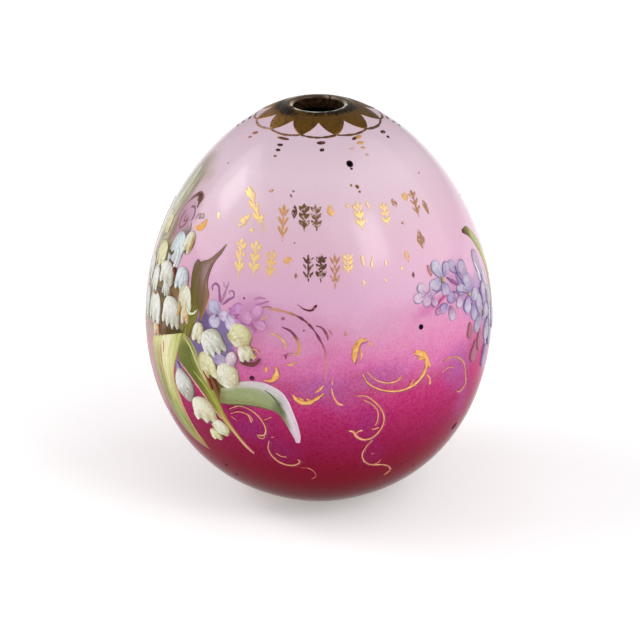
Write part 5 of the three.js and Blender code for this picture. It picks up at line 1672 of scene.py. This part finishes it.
# ---- Kiln specks and dirt: lon, lat, half width, half height, colour ----
SPECK_BLACK = (30, 14, 22)
SPECK_BROWN = (110, 64, 74)
SPECKS = [
    (19.4, 54.8, 0.82, 0.95, (10, 5, 8)), (19.6, 53.1, 0.34, 0.3, (70, 50, 56)),
    (17, 47.8, 0.3, 0.4, (150, 116, 76)), (20, 47.2, 0.45, 0.55, (126, 92, 52)),
    (20.6, 45.6, 0.3, 0.35, (140, 100, 74)),
    (35.1, 6.6, 0.66, 0.66, (16, 2, 12)), (-21.4, -5.4, 0.65, 0.6, (64, 26, 40)),
    (-21.2, -5.5, 0.2, 0.18, (200, 160, 170)),
    (-22.2, -8.1, 0.35, 0.28, (70, 56, 50)), (-22.3, -6.9, 0.16, 0.2, (110, 90, 84)),
    (-10.4, 1.6, 0.2, 0.5, (90, 44, 74)), (-11.7, 11.7, 0.45, 0.4, (166, 84, 104)),
    (-25.8, 15.7, 0.3, 0.34, (150, 84, 120)),
    (-40.6, -41.2, 0.6, 0.35, (66, 30, 36)), (-38.6, -46, 0.5, 0.35, (66, 32, 38)),
    (7.3, -35.9, 0.28, 0.3, (80, 18, 46)),
    (42.3, -41.9, 0.3, 0.3, (70, 22, 40)), (34, -38.6, 0.4, 0.25, (84, 22, 46)),
    (59, -30.8, 1.1, 0.9, (80, 26, 44)),
    (-13.4, 44.8, 0.25, 0.5, (140, 106, 116)), (-12.6, 46.2, 0.34, 0.26, (150, 108, 104)),
    (-9.4, 31.6, 0.24, 0.3, (172, 136, 140)),
    (62, 46, 0.25, 0.3, (150, 110, 110)), (-60, 50, 0.3, 0.25, (170, 130, 140)),
    (95, 30, 0.3, 0.3, SPECK_BROWN),
    (170, 12, 0.4, 0.4, SPECK_BLACK), (-120, -20, 0.35, 0.3, SPECK_BROWN),
    (110, -35, 0.4, 0.3, SPECK_BLACK),
    (-178, 40, 0.3, 0.3, SPECK_BROWN),
]


def speck_paint(colour):
    def paint(x, y, rho, lon, lat):
        return mix(colour, mix(ground_colour(lon, lat), colour, 0.45), ease(0.65, 1, rho))
    return paint


def specks():
    shell = Shell()
    for number, (lon, lat, half_width, half_height, colour) in enumerate(SPECKS):
        add_patch(shell, (lon, lat), ellipse(half_width, half_height), speck_paint(colour),
                  tilt=8 * (number % 5), thickness=0.03, spokes=20, rings=4)
    shell.build("kiln_specks", BURNT_SPECK, "porcelain")


# ---- The egg ----
porcelain_body()
rosette("rosette_top", inner=75.8, head=72.5, tip=66.4, replaced=["gilt_rosette_top"])
rosette("rosette_foot", inner=-75.0, head=-72.5, tip=-67.5, replaced=["gilt_rosette_foot"])
pendants()
scrolls()
sprigs()
foliage()
leaves()
bells()
florets()
specks()

# ---- Stage ----
FLOOR_HALF = 3.0  # m
FLOOR_GLOW = 0.34  # keeps the paper under the egg white, as on a light table
WORLD_LIGHT = 0.33
TARGET = Vector((0, 0, CENTRE_Z * MM))

# Lamps aimed at the egg: name, azimuth (0 is the front, growing to the right) and elevation in
# degrees, distance, width and height in m, power in W.
LAMPS = [
    ("wall_right", 70, 36, 0.95, 1.7, 1.1, 5.6),
    ("key_right", 46, 36, 0.92, 0.3, 0.34, 1.5),
    ("wall_left", -94, 32, 0.95, 0.8, 0.7, 3.6),
    ("key_left", -100, 36, 0.92, 0.26, 0.26, 1.0),
]


def paper_material():
    material = bpy.data.materials.new("studio_floor")
    material.use_nodes = True
    tree = material.node_tree
    shader = tree.nodes["Principled BSDF"]
    where = place(tree, "ShaderNodeTexCoord").outputs["Object"]
    value = remap(tree, noise(tree, where, 40), 0.3, 0.7, 0.93, 0.95)
    tint = place(tree, "ShaderNodeCombineColor", {"Red": value, "Green": value, "Blue": value})
    tree.links.new(tint.outputs[0], shader.inputs["Base Color"])
    shader.inputs["Roughness"].default_value = 0.9
    shader.inputs["Specular IOR Level"].default_value = 0.1
    shader.inputs["Emission Color"].default_value = (1, 1, 1, 1)
    shader.inputs["Emission Strength"].default_value = FLOOR_GLOW
    return material


def add_floor():
    mesh = bpy.data.meshes.new("floor")
    corners = [(x * FLOOR_HALF, y * FLOOR_HALF, 0) for x, y in ((-1, -1), (1, -1), (1, 1), (-1, 1))]
    mesh.from_pydata(corners, [], [(0, 1, 2, 3)])
    mesh.materials.append(paper_material())
    floor = bpy.data.objects.new("floor", mesh)
    bpy.context.scene.collection.objects.link(floor)


def add_lamp(name, azimuth, elevation, distance, width, height, watts):
    """A soft rectangular light."""
    data = bpy.data.lights.new(name, "AREA")
    data.shape = "RECTANGLE"
    data.size, data.size_y, data.energy = width, height, watts
    lamp = bpy.data.objects.new(name, data)
    a, e = math.radians(azimuth), math.radians(elevation)
    direction = Vector((math.sin(a) * math.cos(e), -math.cos(a) * math.cos(e), math.sin(e)))
    lamp.location = TARGET + direction * distance
    lamp.rotation_euler = direction.to_track_quat("Z", "Y").to_euler()
    bpy.context.scene.collection.objects.link(lamp)


def add_world():
    world = bpy.data.worlds.new("studio")
    world.use_nodes = True
    background = world.node_tree.nodes["Background"]
    background.inputs["Color"].default_value = (1, 1, 1, 1)
    background.inputs["Strength"].default_value = WORLD_LIGHT
    bpy.context.scene.world = world
    bpy.context.scene.view_settings.view_transform = "Standard"


add_floor()
for lamp_values in LAMPS:
    add_lamp(*lamp_values)
add_world()

# ---- Camera: a little above the egg, looking down ----
CAMERA_DISTANCE = 637.25
CAMERA_ELEVATION = 21.57
AIM_DOWN = 0.487  # the picture's middle lies this many degrees below the form's centre
AIM_RIGHT = 0.031
LENS = 155.0


def add_camera():
    tilt = math.radians(CAMERA_ELEVATION)
    data = bpy.data.cameras.new("camera")
    data.lens = LENS
    camera = bpy.data.objects.new("camera", data)
    away = Vector((0, -math.cos(tilt), math.sin(tilt)))
    camera.location = TARGET + away * CAMERA_DISTANCE * MM
    look_up = 90 - CAMERA_ELEVATION - AIM_DOWN
    camera.rotation_euler = (math.radians(look_up), 0, math.radians(-AIM_RIGHT))
    bpy.context.scene.collection.objects.link(camera)
    bpy.context.scene.camera = camera


add_camera()
